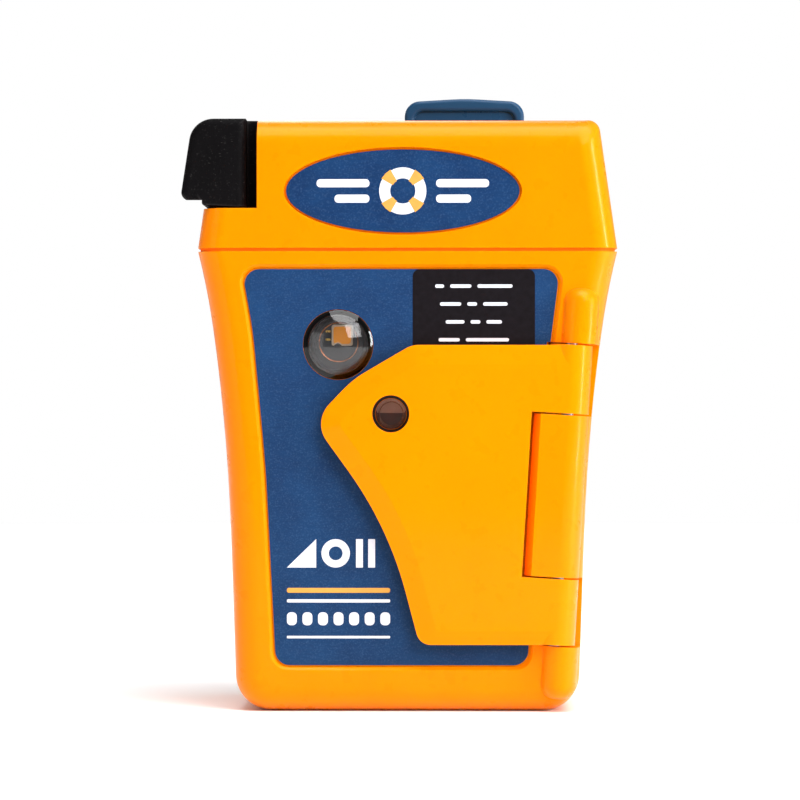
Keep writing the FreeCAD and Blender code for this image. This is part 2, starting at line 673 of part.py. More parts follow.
def build_head_gasket():
    body = new_body("head_gasket_body")
    inset, width, corner = size("head_gasket_inset"), size("head_gasket_width"), size("head_gasket_corner")
    side, depth = size("case_top_half") - inset, size("case_front") - inset
    outline = rounded([(side, -depth, corner), (side, depth, corner), (-side, depth, corner),
                       (-side, -depth, corner)])
    sketch = new_sketch(body, "head_gasket_outline", "XY_Plane", "Dims.case_height", outline)
    pad(body, sketch, "Dims.head_bottom - Dims.case_height")
    inner_side, inner_depth, step = side - width, depth - width, 2 * width
    right_half = [(inner_side - step, -inner_depth, 1), (inner_side - step, -step, 1), (inner_side, -step, 1),
                  (inner_side, step, 1), (inner_side - step, step, 1), (inner_side - step, inner_depth, 1)]
    opening = new_sketch(body, "head_gasket_opening", "XY_Plane", "Dims.head_bottom",
                         rounded(mirrored(right_half)))
    pocket(body, opening, 2)
    holes = [rod("gasket_hole", "Dims.screw_radius + Dims.screw_play", 2, (x, y, "Dims.case_height - 0.5"), "z")
             for x, y in head_screw_places()]
    return finished(cut("head_gasket", body, holes), "head_gasket")


def build_head_screws():
    length = size("head_bottom") + size("head_screw_grip") - size("case_height") + size("case_wall")
    points = [(radius, -depth, corner) for radius, depth, corner in
              screw_points(1.8, size("screw_radius"), 1.1, length)]
    screws = []
    for x, y in head_screw_places():
        screws.append(turned("head_screw", points, (x, y, "Dims.case_height - Dims.case_wall"), "z"))
    return finished(group("head_screws", screws), "head_screws")


# ---- antenna ----

def build_antenna_cap():
    right, top, lip = -size("cap_right"), size("cap_top"), size("cap_lip_height")
    lip_side, half = -size("cap_lip_side"), size("cap_half_depth")
    foot = top - 10.65
    body = new_body("antenna_cap_block")
    outline = [(right, top, 0), (-size("cap_head_left"), top, 3), (-size("cap_foot_left"), lip, 1),
               (lip_side - 0.3, lip, 0), (lip_side, foot, 0), (-21, foot - 0.25, 0), (right, foot - 0.1, 0)]
    sketch = new_sketch(body, "cap_outline", "XZ_Plane", "Dims.cap_half_depth", rounded(outline))
    pad(body, sketch, "2 * Dims.cap_half_depth", backwards=True)
    outer = [name for name in edges_where(body.Tip.Shape, lambda point: near(abs(point.y), half))
             if body.Tip.Shape.getElement(name).CenterOfMass.x < right - 0.05
             and body.Tip.Shape.getElement(name).CenterOfMass.z > lip + 0.05]
    fillet(body, outer, "Dims.cap_edge_round")
    hollow = box("cap_hollow", ("-Dims.cap_lip_side", -8, 62), ("-Dims.cap_wall_right", 8, 70))
    front = "-Dims.cap_half_depth"
    side_gap = box("cap_side_gap", ("-Dims.cap_gap_side", front + " - 1", 50), (-18, front + " + 5", 80))
    corner = box("cap_corner", ("-Dims.cap_gap_side - Dims.cap_edge_round", front + " - 1", 50),
                 ("0.1 - Dims.cap_gap_side", front + " + Dims.cap_edge_round", 80))
    rounding = rod("cap_corner_round", "Dims.cap_edge_round", 40,
                   ("-Dims.cap_gap_side - Dims.cap_edge_round", front + " + Dims.cap_edge_round", 45), "z")
    relief = doc.addObject("Part::Box", "cap_lip_relief")
    relief.Length, relief.Width, relief.Height = 4, 40, 10
    tilt = Placement(Vector(-29.3, -half, lip), Rotation(Vector(1, 0, 0), size("cap_lip_rise")))
    relief.Placement = tilt * Placement(Vector(0, -2, -10), Rotation())
    tools = [hollow, side_gap, cut("cap_corner_cutter", corner, [rounding]), relief]
    anchor = box("tape_anchor_block", (-23.2, -4, 65), ("-Dims.cap_wall_right", 4, 70.5))
    shell = fuse("cap_with_anchor", [cut("cap_shell", body, tools), anchor])
    slot = box("anchor_slot", ("-Dims.tape_side - Dims.tape_thick / 2", "-Dims.tape_width / 2", 60),
               ("-Dims.tape_side + Dims.tape_thick / 2", "Dims.tape_width / 2", "Dims.tape_top"))
    return finished(cut("antenna_cap", shell, [slot]), "antenna_cap")


def tape_run_foot():
    """Height at which the tape, having left the coil and turned upwards, starts its straight run."""
    return size("reel_height") - size("coil_radius") - 0.1 + size("tape_bend")


def build_tape():
    """The steel tape antenna: its free run in the cap, its lead through the guide, and its coil."""
    half = size("tape_thick") / 2
    run_foot = tape_run_foot()
    free = box("antenna_tape", ("-Dims.tape_side - Dims.tape_thick / 2", "-Dims.tape_width / 2", run_foot),
               ("-Dims.tape_side + Dims.tape_thick / 2", "Dims.tape_width / 2", "Dims.tape_top"))
    finished(free, "antenna_tape")
    lead = new_body("tape_lead_body")
    bend, side, stop = size("tape_bend"), size("tape_side"), -size("reel_side")
    start_x = -side + bend
    centre = Vector(start_x, run_foot, 0)
    edges = []
    corner = Vector(-math.sqrt(0.5), -math.sqrt(0.5), 0)
    for radius in (bend - half, bend + half):
        edges.append(Part.Arc(centre + Vector(-radius, 0, 0), centre + corner * radius,
                              centre + Vector(0, -radius, 0)))
        edges.append(Part.LineSegment(centre + Vector(0, -radius, 0), Vector(stop, run_foot - radius, 0)))
    edges.append(Part.LineSegment(centre + Vector(-bend + half, 0, 0), centre + Vector(-bend - half, 0, 0)))
    edges.append(Part.LineSegment(Vector(stop, run_foot - bend + half, 0),
                                  Vector(stop, run_foot - bend - half, 0)))
    sketch = new_sketch(lead, "tape_lead_outline", "XZ_Plane", "Dims.tape_width / 2", edges)
    pad(lead, sketch, "Dims.tape_width", backwards=True)
    finished(lead, "tape_lead")
    width = size("tape_width") / 2
    coil = turned("tape_coil_body", [(size("reel_hub"), -width, 0), (size("coil_radius"), -width, 0),
                                     (size("coil_radius"), width, 0), (size("reel_hub"), width, 0)],
                  ("-Dims.reel_side", 0, "Dims.reel_height"))
    finished(coil, "tape_coil")


def build_reel_spool():
    hub, flange, width = size("reel_hub"), size("reel_flange"), size("tape_width") / 2
    shaft, rear = size("shaft_radius"), size("case_rear")
    points = [(0, -9, 0), (1.2, -9, 0), (1.2, -width - 1, 0), (3, -width - 1, 0.3), (3, -width - 0.1, 0),
              (hub, -width - 0.1, 0), (hub, width + 0.1, 0), (flange, width + 0.1, 0),
              (flange, width + 0.8, 0.2), (shaft, width + 0.8, 0), (shaft, rear + 0.6, 0), (0, rear + 0.6, 0)]
    return finished(turned("reel_spool", points, ("-Dims.reel_side", 0, "Dims.reel_height")), "reel_spool")


def build_winder():
    radius, thick, start = size("dial_radius"), size("dial_thick"), size("case_rear") + 0.35
    shaft = size("shaft_radius")
    points = [(shaft, start, 0), (radius, start, 0), (radius, start + thick, 0.4),
              (0, start + thick, 0), (0, size("case_rear") + 0.6, 0), (shaft, size("case_rear") + 0.6, 0)]
    disc = turned("dial_disc", points, ("-Dims.reel_side", 0, "Dims.reel_height"))
    grips = []
    count = 16
    for index in range(count):
        angle = 2 * math.pi * index / count
        grips.append(rod("dial_grip", 0.5, 4, (
            "-Dims.reel_side + (Dims.dial_radius + 0.15) * %.6f" % math.cos(angle), "Dims.case_rear",
            "Dims.reel_height + (Dims.dial_radius + 0.15) * %.6f" % math.sin(angle))))
    key = box("dial_key_slot", ("-Dims.reel_side - 3.2", "Dims.case_rear + 1.15", "Dims.reel_height - 0.6"),
              ("-Dims.reel_side + 3.2", "Dims.case_rear + 3", "Dims.reel_height + 0.6"))
    finished(cut("winder_dial", disc, grips + [key]), "winder_dial")
    ring = turned("winder_seal", [(shaft + 0.1, -1, 0), (shaft + 1, -1, 0), (shaft + 1, 0, 0),
                                  (shaft + 0.1, 0, 0)],
                  ("-Dims.reel_side", "Dims.case_rear", "Dims.reel_height"))
    finished(ring, "winder_seal")


def build_antenna_guide():
    """Block that bends the tape upwards, its curved face just inside the tape's bend."""
    body = new_body("guide_block")
    top = size("notch_floor") - size("notch_skin") - 0.1
    across = size("tape_bend") - size("tape_side")
    centre = Vector(across, tape_run_foot(), 0)
    radius = size("tape_bend") - size("tape_thick") / 2 - 0.2
    span = math.sqrt(radius ** 2 - (centre.y - top) ** 2)
    half_angle = math.asin(span / radius) / 2
    upper = Vector(across - span, top, 0)
    lower = centre + Vector(0, -radius, 0)
    middle = centre + Vector(-radius * math.sin(half_angle), -radius * math.cos(half_angle), 0)
    back_low, back_high = Vector(across + 1, lower.y, 0), Vector(across + 1, top, 0)
    edges = [Part.Arc(upper, middle, lower), Part.LineSegment(lower, back_low),
             Part.LineSegment(back_low, back_high), Part.LineSegment(back_high, upper)]
    sketch = new_sketch(body, "guide_outline", "XZ_Plane", "Dims.guide_half", edges)
    pad(body, sketch, "2 * Dims.guide_half", backwards=True)
    return finished(body, "antenna_guide")


def build_feed():
    """The cable up from the board, and the spring contact that presses on the tape's coil."""
    left, right = "-Dims.feed_side - Dims.feed_arm", "Dims.feed_arm - Dims.feed_side"
    sill, edge = "Dims.head_bottom + 1", "1 - Dims.tape_width / 2"
    cable = rod("feed_cable", 0.5, sill + " - Dims.board_top",
                ("-Dims.feed_side", "0.5 - Dims.board_front", "Dims.board_top"), "z")
    finished(cable, "feed_cable")
    arm = box("rf_arm", (left, "-Dims.board_front - 0.1", sill), (right, edge, sill + " + Dims.feed_sheet"))
    finger = box("rf_finger", (left, edge + " - 0.4", sill),
                 (right, edge, "Dims.reel_height - Dims.coil_radius - 0.17"))
    finished(fuse("rf_contact", [arm, finger]), "rf_contact")


# ---- flap ----

def flap_corners():
    """The flap's corners from its upper right, with the radius of each."""
    top, bottom = size("flap_top"), size("flap_bottom")
    slope = math.tan(math.radians(size("hinge_tilt")))
    foot = size("hinge_foot")
    return [(foot + slope * top, top, 0), (0.57, top, 3.2), (-6.6, 40.85, 12), (-11.59, 35.68, 3.5),
            (-2.31, 22.8, 45), (1.52, bottom, 1.8), (foot + slope * bottom, bottom, 0)]


def drawn_in(points, distances):
    """The outline with each side, from its first point on, moved inwards by its own distance."""
    moved = []
    for index in range(len(points)):
        start, end = Vector(*points[index][:2], 0), Vector(*points[(index + 1) % len(points)][:2], 0)
        along = (end - start).normalize()
        inwards = Vector(-along.y, along.x, 0)
        moved.append((start + inwards * distances[index], along))
    corners = []
    for index, (across, up, radius) in enumerate(points):
        before, along_before = moved[index - 1]
        after, along_after = moved[index]
        turn = along_before.x * along_after.y - along_before.y * along_after.x
        gap = after - before
        reach = (gap.x * along_after.y - gap.y * along_after.x) / turn
        corner = before + along_before * reach
        corners.append((corner.x, corner.y, max(radius - distances[index], 0.4) if radius else 0))
    return corners


def build_flap():
    front = "Dims.case_front + Dims.flap_lift"
    corners = flap_corners()
    body = new_body("flap_plate")
    sketch = new_sketch(body, "flap_outline", "XZ_Plane", front, rounded(corners))
    pad(body, sketch, "Dims.flap_thick - Dims.flap_bevel_drop")
    bevel = size("flap_bevel")
    face = new_body("flap_face")
    rim = new_sketch(face, "flap_face_rim", "XZ_Plane", front + " + Dims.flap_thick - Dims.flap_bevel_drop",
                     rounded(corners))
    crest = new_sketch(face, "flap_face_crest", "XZ_Plane", front + " + Dims.flap_thick",
                       rounded(drawn_in(corners, [bevel] * 5 + [0.7 * bevel, 0])))
    loft = face.newObject("PartDesign::AdditiveLoft", "flap_face_loft")
    loft.Profile = rim
    loft.Sections = [crest]
    loft.Ruled = True
    doc.recompute()
    knuckles = [hinge_rod("flap_lower_knuckle", "Dims.knuckle_radius", "Dims.lower_knuckle_bottom",
                          "Dims.lower_knuckle_top"),
                hinge_rod("flap_upper_knuckle", "Dims.knuckle_radius", "Dims.upper_knuckle_bottom",
                          "Dims.upper_knuckle_top")]
    solid = fuse("flap_with_knuckles", [body, face] + knuckles)
    bore = hinge_rod("flap_bore", "Dims.pin_radius + Dims.pin_play", 0, 60)
    window = hinge_box("block_window", ("-Dims.block_reach - Dims.block_gap", -5, "Dims.lower_knuckle_top"),
                       (6, 5, "Dims.upper_knuckle_bottom"))
    foot = flap_spring_foot()
    spring_room = hinge_rod("spring_room", "Dims.spring_pocket", foot - 0.4, "Dims.lower_knuckle_top + 0.1")
    leg_slot = hinge_box("flap_leg_slot",
                         (-3.6, "-Dims.flap_spring_radius - Dims.leg_room", "%s - Dims.leg_room" % foot),
                         (0, 0, "%s + Dims.leg_room" % foot))
    hole = rod("flap_window", "Dims.flap_window", 5, ("-Dims.indicator_side", -20, "Dims.indicator_height"))
    below = hinge_box("flap_foot_trim", (-0.01, -6, 0), (6, 6, "Dims.lower_knuckle_bottom"))
    above = hinge_box("flap_head_trim", (-2.5, -6, "Dims.upper_knuckle_top"), (6, 6, 60))
    leg_sweep = hinge_box("spring_leg_sweep",
                          (-2.8, 0.2, "Dims.lower_knuckle_top - Dims.spring_play - Dims.leg_room"),
                          (2.8, 2.8, "Dims.lower_knuckle_top + 0.1"))
    tools = [bore, window, spring_room, leg_slot, leg_sweep, hole, below, above]
    return finished(cut("flap", solid, tools), "flap")


def build_hinge_pin():
    return finished(hinge_pin_rod("hinge_pin"), "hinge_pin")


def build_flap_spring():
    torsion_spring("flap_spring", HINGE * Placement(Vector(0, 0, flap_spring_foot()), Rotation()))


# ---- labels, strobe, indicator and buttons ----

def label_hinge_rooms():
    """What the label leaves free for the hinge's knuckles, its upper boss and its block."""
    knuckles = hinge_rod("label_hinge_room", "Dims.knuckle_radius + Dims.knuckle_room + 0.2", 0,
                         "Dims.upper_knuckle_top + Dims.knuckle_gap")
    boss = hinge_rod("label_boss_room", "Dims.boss_radius + 0.15", "Dims.upper_knuckle_top",
                     "Dims.case_height")
    boss.Placement = boss.Placement * Placement(Vector(size("boss_shift"), 0, 0), Rotation())
    block = hinge_box("label_block_room", ("-Dims.block_reach - 0.9", -4, "Dims.lower_knuckle_top - 0.6"),
                      (6, 4, "Dims.upper_knuckle_bottom + 0.6"))
    return [knuckles, boss, block]


def build_front_label():
    body = new_body("front_label_sheet")
    sketch = new_sketch(body, "label_edge", "XZ_Plane", "Dims.case_front - Dims.label_recess",
                        label_outline(0))
    pad(body, sketch, "Dims.label_thick")
    holes = [rod("label_strobe_hole", "Dims.strobe_radius + 0.05", 4,
                 ("-Dims.strobe_side", "-Dims.case_front - 1", "Dims.strobe_height")),
             rod("label_indicator_hole", 2.75, 4,
                 ("-Dims.indicator_side", "-Dims.case_front - 1", "Dims.indicator_height"))]
    for which in ("on", "test"):
        holes.append(rod("label_%s_hole" % which, "Dims.%s_radius + Dims.button_play" % which, 4,
                         ("Dims.%s_side" % which, "-Dims.case_front - 1", "Dims.%s_height" % which)))
    holes += label_hinge_rooms()
    return finished(cut("front_label", body, holes), "front_label")


def rear_label_outline(grow):
    left, right = -size("rear_label_left") + grow, -size("rear_label_right") - grow
    bottom, top, corner = size("rear_label_bottom") - grow, size("rear_label_top") + grow, 1.3 + grow
    return rounded([(left, bottom, corner), (left, top, corner), (right, top, corner),
                    (right, bottom, corner)])


def build_rear_label():
    body = new_body("rear_label_sheet")
    sketch = new_sketch(body, "rear_label_edge", "XZ_Plane", "Dims.rear_label_recess - Dims.case_rear",
                        rear_label_outline(0))
    pad(body, sketch, "Dims.label_thick", backwards=True)
    return finished(body, "rear_label")


def strobe_lens_body(face, wall):
    """A thin domed window with a flange behind the case's front wall."""
    radius, skin, dome = size("strobe_radius"), 0.7, size("strobe_dome")
    ball = (radius ** 2 + dome ** 2) / (2 * dome)
    inner_ball, inner_radius = ball - skin, radius - skin
    centre = face - size("label_thick") - dome + ball

    def depth_at(ball_radius, rim):
        return centre - math.sqrt(ball_radius ** 2 - rim ** 2)

    def half_way(ball_radius, rim):
        angle = math.asin(rim / ball_radius) / 2
        return Vector(ball_radius * math.sin(angle), centre - ball_radius * math.cos(angle), 0)
    lip, inner_lip = depth_at(ball, radius), depth_at(inner_ball, inner_radius)
    corners = [Vector(0, centre - ball, 0), Vector(radius, lip, 0), Vector(radius, wall, 0),
               Vector(radius + 0.8, wall, 0), Vector(radius + 0.8, wall + skin, 0),
               Vector(inner_radius, wall + skin, 0), Vector(inner_radius, inner_lip, 0),
               Vector(0, centre - inner_ball, 0)]
    edges = [Part.Arc(corners[0], half_way(ball, radius), corners[1])]
    edges += [Part.LineSegment(start, end) for start, end in zip(corners[1:6], corners[2:7])]
    edges.append(Part.Arc(corners[6], half_way(inner_ball, inner_radius), corners[7]))
    edges.append(Part.LineSegment(corners[7], corners[0]))
    return turned_edges("strobe_lens_body", edges)


def build_strobe():
    place = ("-Dims.strobe_side", 0, "Dims.strobe_height")
    face = size("label_recess") - size("case_front")
    wall = size("case_wall") - size("case_front")
    lens = strobe_lens_body(face, wall)
    move_to(lens, place)
    finished(lens, "strobe_lens")
    radius = size("strobe_radius")
    cup = radius - 0.75
    floor = wall + 0.4
    finished(turned("strobe_reflector", [
        (0, floor, 0), (3.05, floor, 0), (3.3, floor - 1.1, 0.2), (cup, floor - 1.4, 0.1), (cup, wall + 0.7, 0),
        (radius + 0.8, wall + 0.7, 0), (radius + 0.8, wall + 1.4, 0), (0, wall + 1.4, 0)], place),
        "strobe_reflector")
    ring = doc.addObject("Part::Torus", "ring_wire")
    ring.setExpression("Radius1", "Dims.strobe_ring_radius")
    ring.setExpression("Radius2", "Dims.strobe_ring_wire")
    ring.Placement = Placement(Vector(), Rotation(Vector(1, 0, 0), 90))
    move_to(ring, (place[0], "%s - Dims.strobe_ring_wire / 2" % floor,
                   "Dims.strobe_height + Dims.strobe_ring_lift"))
    half, play = size("strobe_led_side") / 2, 0.1
    led_side = value_of("Dims.strobe_led_shift - Dims.strobe_side")
    led_height = value_of("Dims.strobe_height + Dims.strobe_led_lift")
    led_room = box("ring_led_room", (led_side - half - play, floor - 1, led_height - half - play),
                   (led_side + half + play, floor + 1, led_height + half + play))
    behind = box("ring_flat", (-20, floor, 30), (0, floor + 1, 60))
    finished(cut("strobe_ring_seated", ring, [behind, led_room]), "strobe_ring")
    base = new_body("strobe_led_body")
    square = rounded([(half, -half, 0.3), (half, half, 0.3), (-half, half, 0.3), (-half, -half, 0.3)])
    sketch = new_sketch(base, "strobe_led_outline", "XZ_Plane", 0, square)
    pad(base, sketch, 0.75)
    move_to(base, (led_side, floor, led_height))
    finished(base, "strobe_led")


def build_indicator():
    place = ("-Dims.indicator_side", 0, "Dims.indicator_height")
    face = -size("case_front") + size("label_recess")
    wall = -size("case_front") + size("case_wall")
    radius = size("indicator_radius")
    finished(turned("indicator_lens", [
        (0, face - 0.5, 0), (radius - 0.2, face - 0.5, 0.2), (radius, face, 0), (radius, wall, 0),
        (radius + 0.7, wall, 0), (radius + 0.7, wall + 0.6, 0), (0, wall + 0.6, 0)], place), "indicator_lens")
    finished(turned("indicator_bezel", [
        (radius + 0.05, face, 0), (2.7, face, 0), (2.7, face - 0.42, 0.15), (radius + 0.05, face - 0.3, 0)],
        place), "indicator_bezel")
    led = box("led_bulb", ("-Dims.indicator_side - 0.8", wall + 0.8, "Dims.indicator_height - 0.5"),
              ("0.8 - Dims.indicator_side", "-Dims.board_front - 6", "Dims.indicator_height + 0.5"))
    post = rod("led_post", 0.8, 6, ("-Dims.indicator_side", "-Dims.board_front - 6", "Dims.indicator_height"))
    finished(fuse("indicator_led_whole", [led, post]), "indicator_led")


def build_button(which):
    radius = size(which + "_radius")
    top = -size("case_front")
    wall = top + size("case_wall")
    stem_end = -size("board_front") - size("switch_height") - size("button_travel") - 0.1
    points = [(0, top + 0.25, 0), (radius * 0.55, top + 0.25, 1.5), (radius * 0.8, top, 0.4),
              (radius, top, 0.35), (radius, wall + 0.05, 0), (radius + size("button_flange"), wall + 0.05, 0),
              (radius + size("button_flange"), wall + 0.75, 0), (size("button_stem"), wall + 0.75, 0),
              (size("button_stem"), stem_end, 0.2), (0, stem_end, 0)]
    place = ("Dims.%s_side" % which, 0, "Dims.%s_height" % which)
    finished(turned(which + "_button", points, place), which + "_button")


def build_button_seals():
    seals = []
    start = size("button_flange") - size("case_front")
    stop = start + size("button_seal")
    for which in ("on", "test"):
        inner, outer = size(which + "_radius") + 0.15, size(which + "_radius") + size("button_flange")
        seals.append(turned(which + "_seal", [(inner, start, 0), (outer, start, 0), (outer, stop, 0),
                                              (inner, stop, 0)],
                            ("Dims.%s_side" % which, 0, "Dims.%s_height" % which)))
    finished(group("button_seals", seals), "button_seals")


# ---- electronics ----

def build_electronics():
    front, back = "-Dims.board_front", "Dims.board_thick - Dims.board_front"
    plate = box("board_plate", ("-Dims.board_half", front, "Dims.board_bottom"),
                ("Dims.board_half", back, "Dims.board_top"))
    holes = [rod("board_hole", 1, 4, (x, "-Dims.board_front - 1", z)) for x, z in board_screw_places()]
    finished(cut("main_board", plate, holes), "main_board")
    points = [(0, -3, 0), (size("board_screw"), -3, 0), (size("board_screw"), 0, 0), (1.45, 0, 0),
              (1.45, 0.8, 0.2), (0, 0.8, 0)]
    screws = [turned("board_screw", points, (x, back, z)) for x, z in board_screw_places()]
    finished(group("board_screws", screws), "board_screws")
    patch = box("gps_antenna",
                ("Dims.patch_left", "-Dims.board_front - Dims.patch_thick", "Dims.patch_bottom"),
                ("Dims.patch_left + Dims.patch_side", front, "Dims.patch_bottom + Dims.patch_side"))
    finished(patch, "gps_antenna")
    shield = box("rf_shield", (-14.5, "-Dims.board_front - 2.2", 14), (-4, front, 31))
    finished(shield, "rf_shield")
    chip = box("processor_chip", (-12, "-Dims.board_front - 1", 33), (-5, front, 40))
    finished(chip, "processor_chip")
    crystal = box("reference_oscillator", (-1.5, "-Dims.board_front - 1.8", 18), (1.7, front, 23))
    finished(crystal, "reference_oscillator")
    switches = []
    for which in ("on", "test"):
        x, z = "Dims.%s_side" % which, "Dims.%s_height" % which
        base = box("switch_base", (x + " - 2.2", "-Dims.board_front - 1.8", z + " - 2.2"),
                   (x + " + 2.2", front, z + " + 2.2"))
        tip = rod("switch_tip", 1.2, 1, (x, "-Dims.board_front - Dims.switch_height", z))
        switches.append(fuse("tact_switch", [base, tip]))
    finished(group("tact_switches", switches), "tact_switches")


def build_battery():
    top = "Dims.cell_bottom + Dims.cell_length"
    cells = []
    for side in ("-", ""):
        x = side + "Dims.cell_side"
        can = rod("cell_can", "Dims.cell_radius - 0.1", "Dims.cell_length - 1",
                  (x, "Dims.cell_depth", "Dims.cell_bottom"), "z")
        nub = rod("cell_nub", 3, 1.2, (x, "Dims.cell_depth", top + " - 1.2"), "z")
        cells.append(fuse("battery_cell", [can, nub]))
    finished(group("battery_cells", cells), "battery_cells")
    plate = box("holder_back", (-12.6, "Dims.board_thick - Dims.board_front + 0.1", "Dims.cell_bottom - 1.5"),
                (12.6, -4.2, top + " + 1.5"))
    floor = box("holder_floor", (-16.5, -4.2, "Dims.cell_bottom - 1.5"), (16.5, 12, "Dims.cell_bottom - 0.4"))
    roof = box("holder_roof", (-16.5, -4.2, top + " + 0.4"), (16.5, 12, top + " + 1.5"))
    finished(fuse("battery_holder", [plate, floor, roof]), "battery_holder")
    contacts = []
    for x in ("-Dims.cell_side", "Dims.cell_side"):
        for low in ("Dims.cell_bottom - 0.4", top):
            contacts.append(box("battery_contact", (x + " - 4", "Dims.cell_depth - 4", low),
                                (x + " + 4", "Dims.cell_depth + 4", low + " + 0.4")))
    finished(group("battery_contacts", contacts), "battery_contacts")


# ---- belt clip ----

def paired_lugs(name, near_edge, far_edge, foot, head):
    """Two barrels on the clip's pin, one each side of its middle, with roots between two depths."""
    middle, lug = size("clip_middle"), size("clip_lug")
    pivot, pin_depth = size("clip_pivot"), size("clip_pin_depth")
    pieces = []
    for left in (middle - far_edge, middle + near_edge):
        right = left + far_edge - near_edge
        pieces.append(rod(name, lug, right - left, (left, pin_depth, pivot), "x"))
        pieces.append(box(name + "_root", (left, foot, pivot - lug), (right, head, pivot + lug)))
    return pieces


def pin_bore(name, radius):
    return rod(name, radius, 30, ("Dims.clip_middle - 15", "Dims.clip_pin_depth", "Dims.clip_pivot"), "x")


def build_clip_base():
    middle, half = size("clip_middle"), size("clip_half")
    bottom, top, corner = size("clip_base_bottom"), size("clip_base_top"), 1.5
    base = new_body("clip_base_plate")
    edges = rounded([(middle + half, bottom, corner), (middle + half, top, corner),
                     (middle - half, top, corner), (middle - half, bottom, corner)])
    sketch = new_sketch(base, "clip_base_outline", "XZ_Plane", "-Dims.case_rear - Dims.clip_base_thick", edges)
    pad(base, sketch, "Dims.clip_base_thick")
    plate_face = size("case_rear") + size("clip_base_thick")
    ears = paired_lugs("clip_ear", 2.3, 3.9, plate_face - 0.1, size("clip_pin_depth"))
    solid = fuse("clip_base_with_ears", [base] + ears)
    holes = [pin_bore("clip_ear_bore", "Dims.clip_pin_radius")]
    holes += [rod("clip_base_hole", 0.9, 5, (x, "Dims.case_rear - 1", z)) for x, z in clip_screw_places()]
    finished(cut("clip_base", solid, holes), "clip_base")


def build_clip_fastenings():
    foot, thick = -size("clip_screw_deep"), size("clip_base_thick")
    points = [(0, foot, 0), (0.8, foot, 0), (0.8, thick, 0), (1.6, thick, 0), (1.6, thick + 0.7, 0.2),
              (0, thick + 0.7, 0)]
    screws = [turned("clip_screw", points, (x, "Dims.case_rear", z)) for x, z in clip_screw_places()]
    finished(group("clip_screws", screws), "clip_screws")
    pin = rod("clip_pin", "Dims.clip_pin_radius", "2 * Dims.clip_half - 1.6",
              ("Dims.clip_middle - Dims.clip_half + 0.8", "Dims.clip_pin_depth", "Dims.clip_pivot"), "x")
    finished(pin, "clip_pin")
    middle = Placement(Vector(size("clip_middle") - spring_rise("clip_spring") / 2, size("clip_pin_depth"),
                              size("clip_pivot")), Rotation())
    across = Rotation(Vector(0, 1, 0), 90) * Rotation(Vector(0, 0, 1), 180)
    torsion_spring("clip_spring", middle * Placement(Vector(), across))


def lever_plate():
    """The clip's long plate, wider towards the thumb, with a shallow dish for it on the inner face."""
    middle, half = size("clip_middle"), size("clip_half")
    bottom, top, corner = size("clip_bottom"), size("clip_top"), size("clip_round")
    shoulder, waist = top - 0.45, half - 1
    body = new_body("clip_lever_plate")
    edges = rounded([(middle + waist, bottom, 2.5), (middle + waist, 44, 20), (middle + half, 62, 20),
                     (middle + half, shoulder, corner), (middle, top, 30), (middle - half, shoulder, corner),
                     (middle - half, 62, 20), (middle - waist, 44, 20), (middle - waist, bottom, 2.5)])
    sketch = new_sketch(body, "lever_outline", "XZ_Plane", "-Dims.clip_plate_outer", edges)
    pad(body, sketch, "Dims.clip_plate_outer - Dims.clip_plate_inner")
    reach, foot, head = half - size("thumb_rim"), size("thumb_dish_foot"), top - 1.75
    dish = new_sketch(body, "thumb_dish_outline", "XZ_Plane", "-Dims.clip_plate_inner", rounded(
        [(middle + reach, foot, 1), (middle + reach, head, 1.2), (middle - reach, head, 1.2),
         (middle - reach, foot, 1)]))
    pocket(body, dish, "Dims.thumb_dish")
    for depth in (size("clip_plate_outer"), size("clip_plate_inner")):
        fillet(body, edges_where(body.Tip.Shape, lambda point: near(point.y, depth)), 0.5)
    return body


def build_clip_lever():
    left, right = "Dims.clip_middle - Dims.clip_half + 2", "Dims.clip_middle + Dims.clip_half - 2"
    hook = box("lever_hook", (left, "Dims.case_rear + 0.9", "Dims.clip_bottom + 0.3"),
               (right, "Dims.clip_plate_inner + 0.5", "Dims.clip_bottom + 2.1"))
    lugs = paired_lugs("lever_lug", 4.2, 6.4, size("clip_pin_depth"), size("clip_plate_inner") + 0.3)
    solid = fuse("lever_with_lugs", [lever_plate(), hook] + lugs)
    bore = pin_bore("lever_bore", "Dims.clip_pin_radius + Dims.pin_play")
    finished(cut("clip_lever", solid, [bore]), "clip_lever")


# ---- assembly ----

build_front_case()
build_rear_case()
build_case_gasket()
build_case_screws()
build_head_cover()
build_head_gasket()
build_head_screws()
build_head_badge()
build_front_label()
build_rear_label()
build_antenna_cap()
build_tape()
build_reel_spool()
build_winder()
build_antenna_guide()
build_feed()
build_flap()
build_hinge_pin()
build_flap_spring()
build_strobe()
build_indicator()
build_button("on")
build_button("test")
build_button_seals()
build_electronics()
build_battery()
build_clip_base()
build_clip_fastenings()
build_clip_lever()

doc.recompute()
for obj in doc.Objects:
    if "Invalid" in obj.State or "Error" in obj.State:
        raise RuntimeError("%s failed: %s" % (obj.Label, obj.State))
os.makedirs("parts", exist_ok=True)
for obj in parts:
    if obj.Shape.isNull() or not obj.Shape.isValid():
        raise RuntimeError(obj.Label + " has no valid shape")
    obj.Shape.exportStep("parts/%s.step" % obj.Label)
print(len(parts), "sub-parts written")
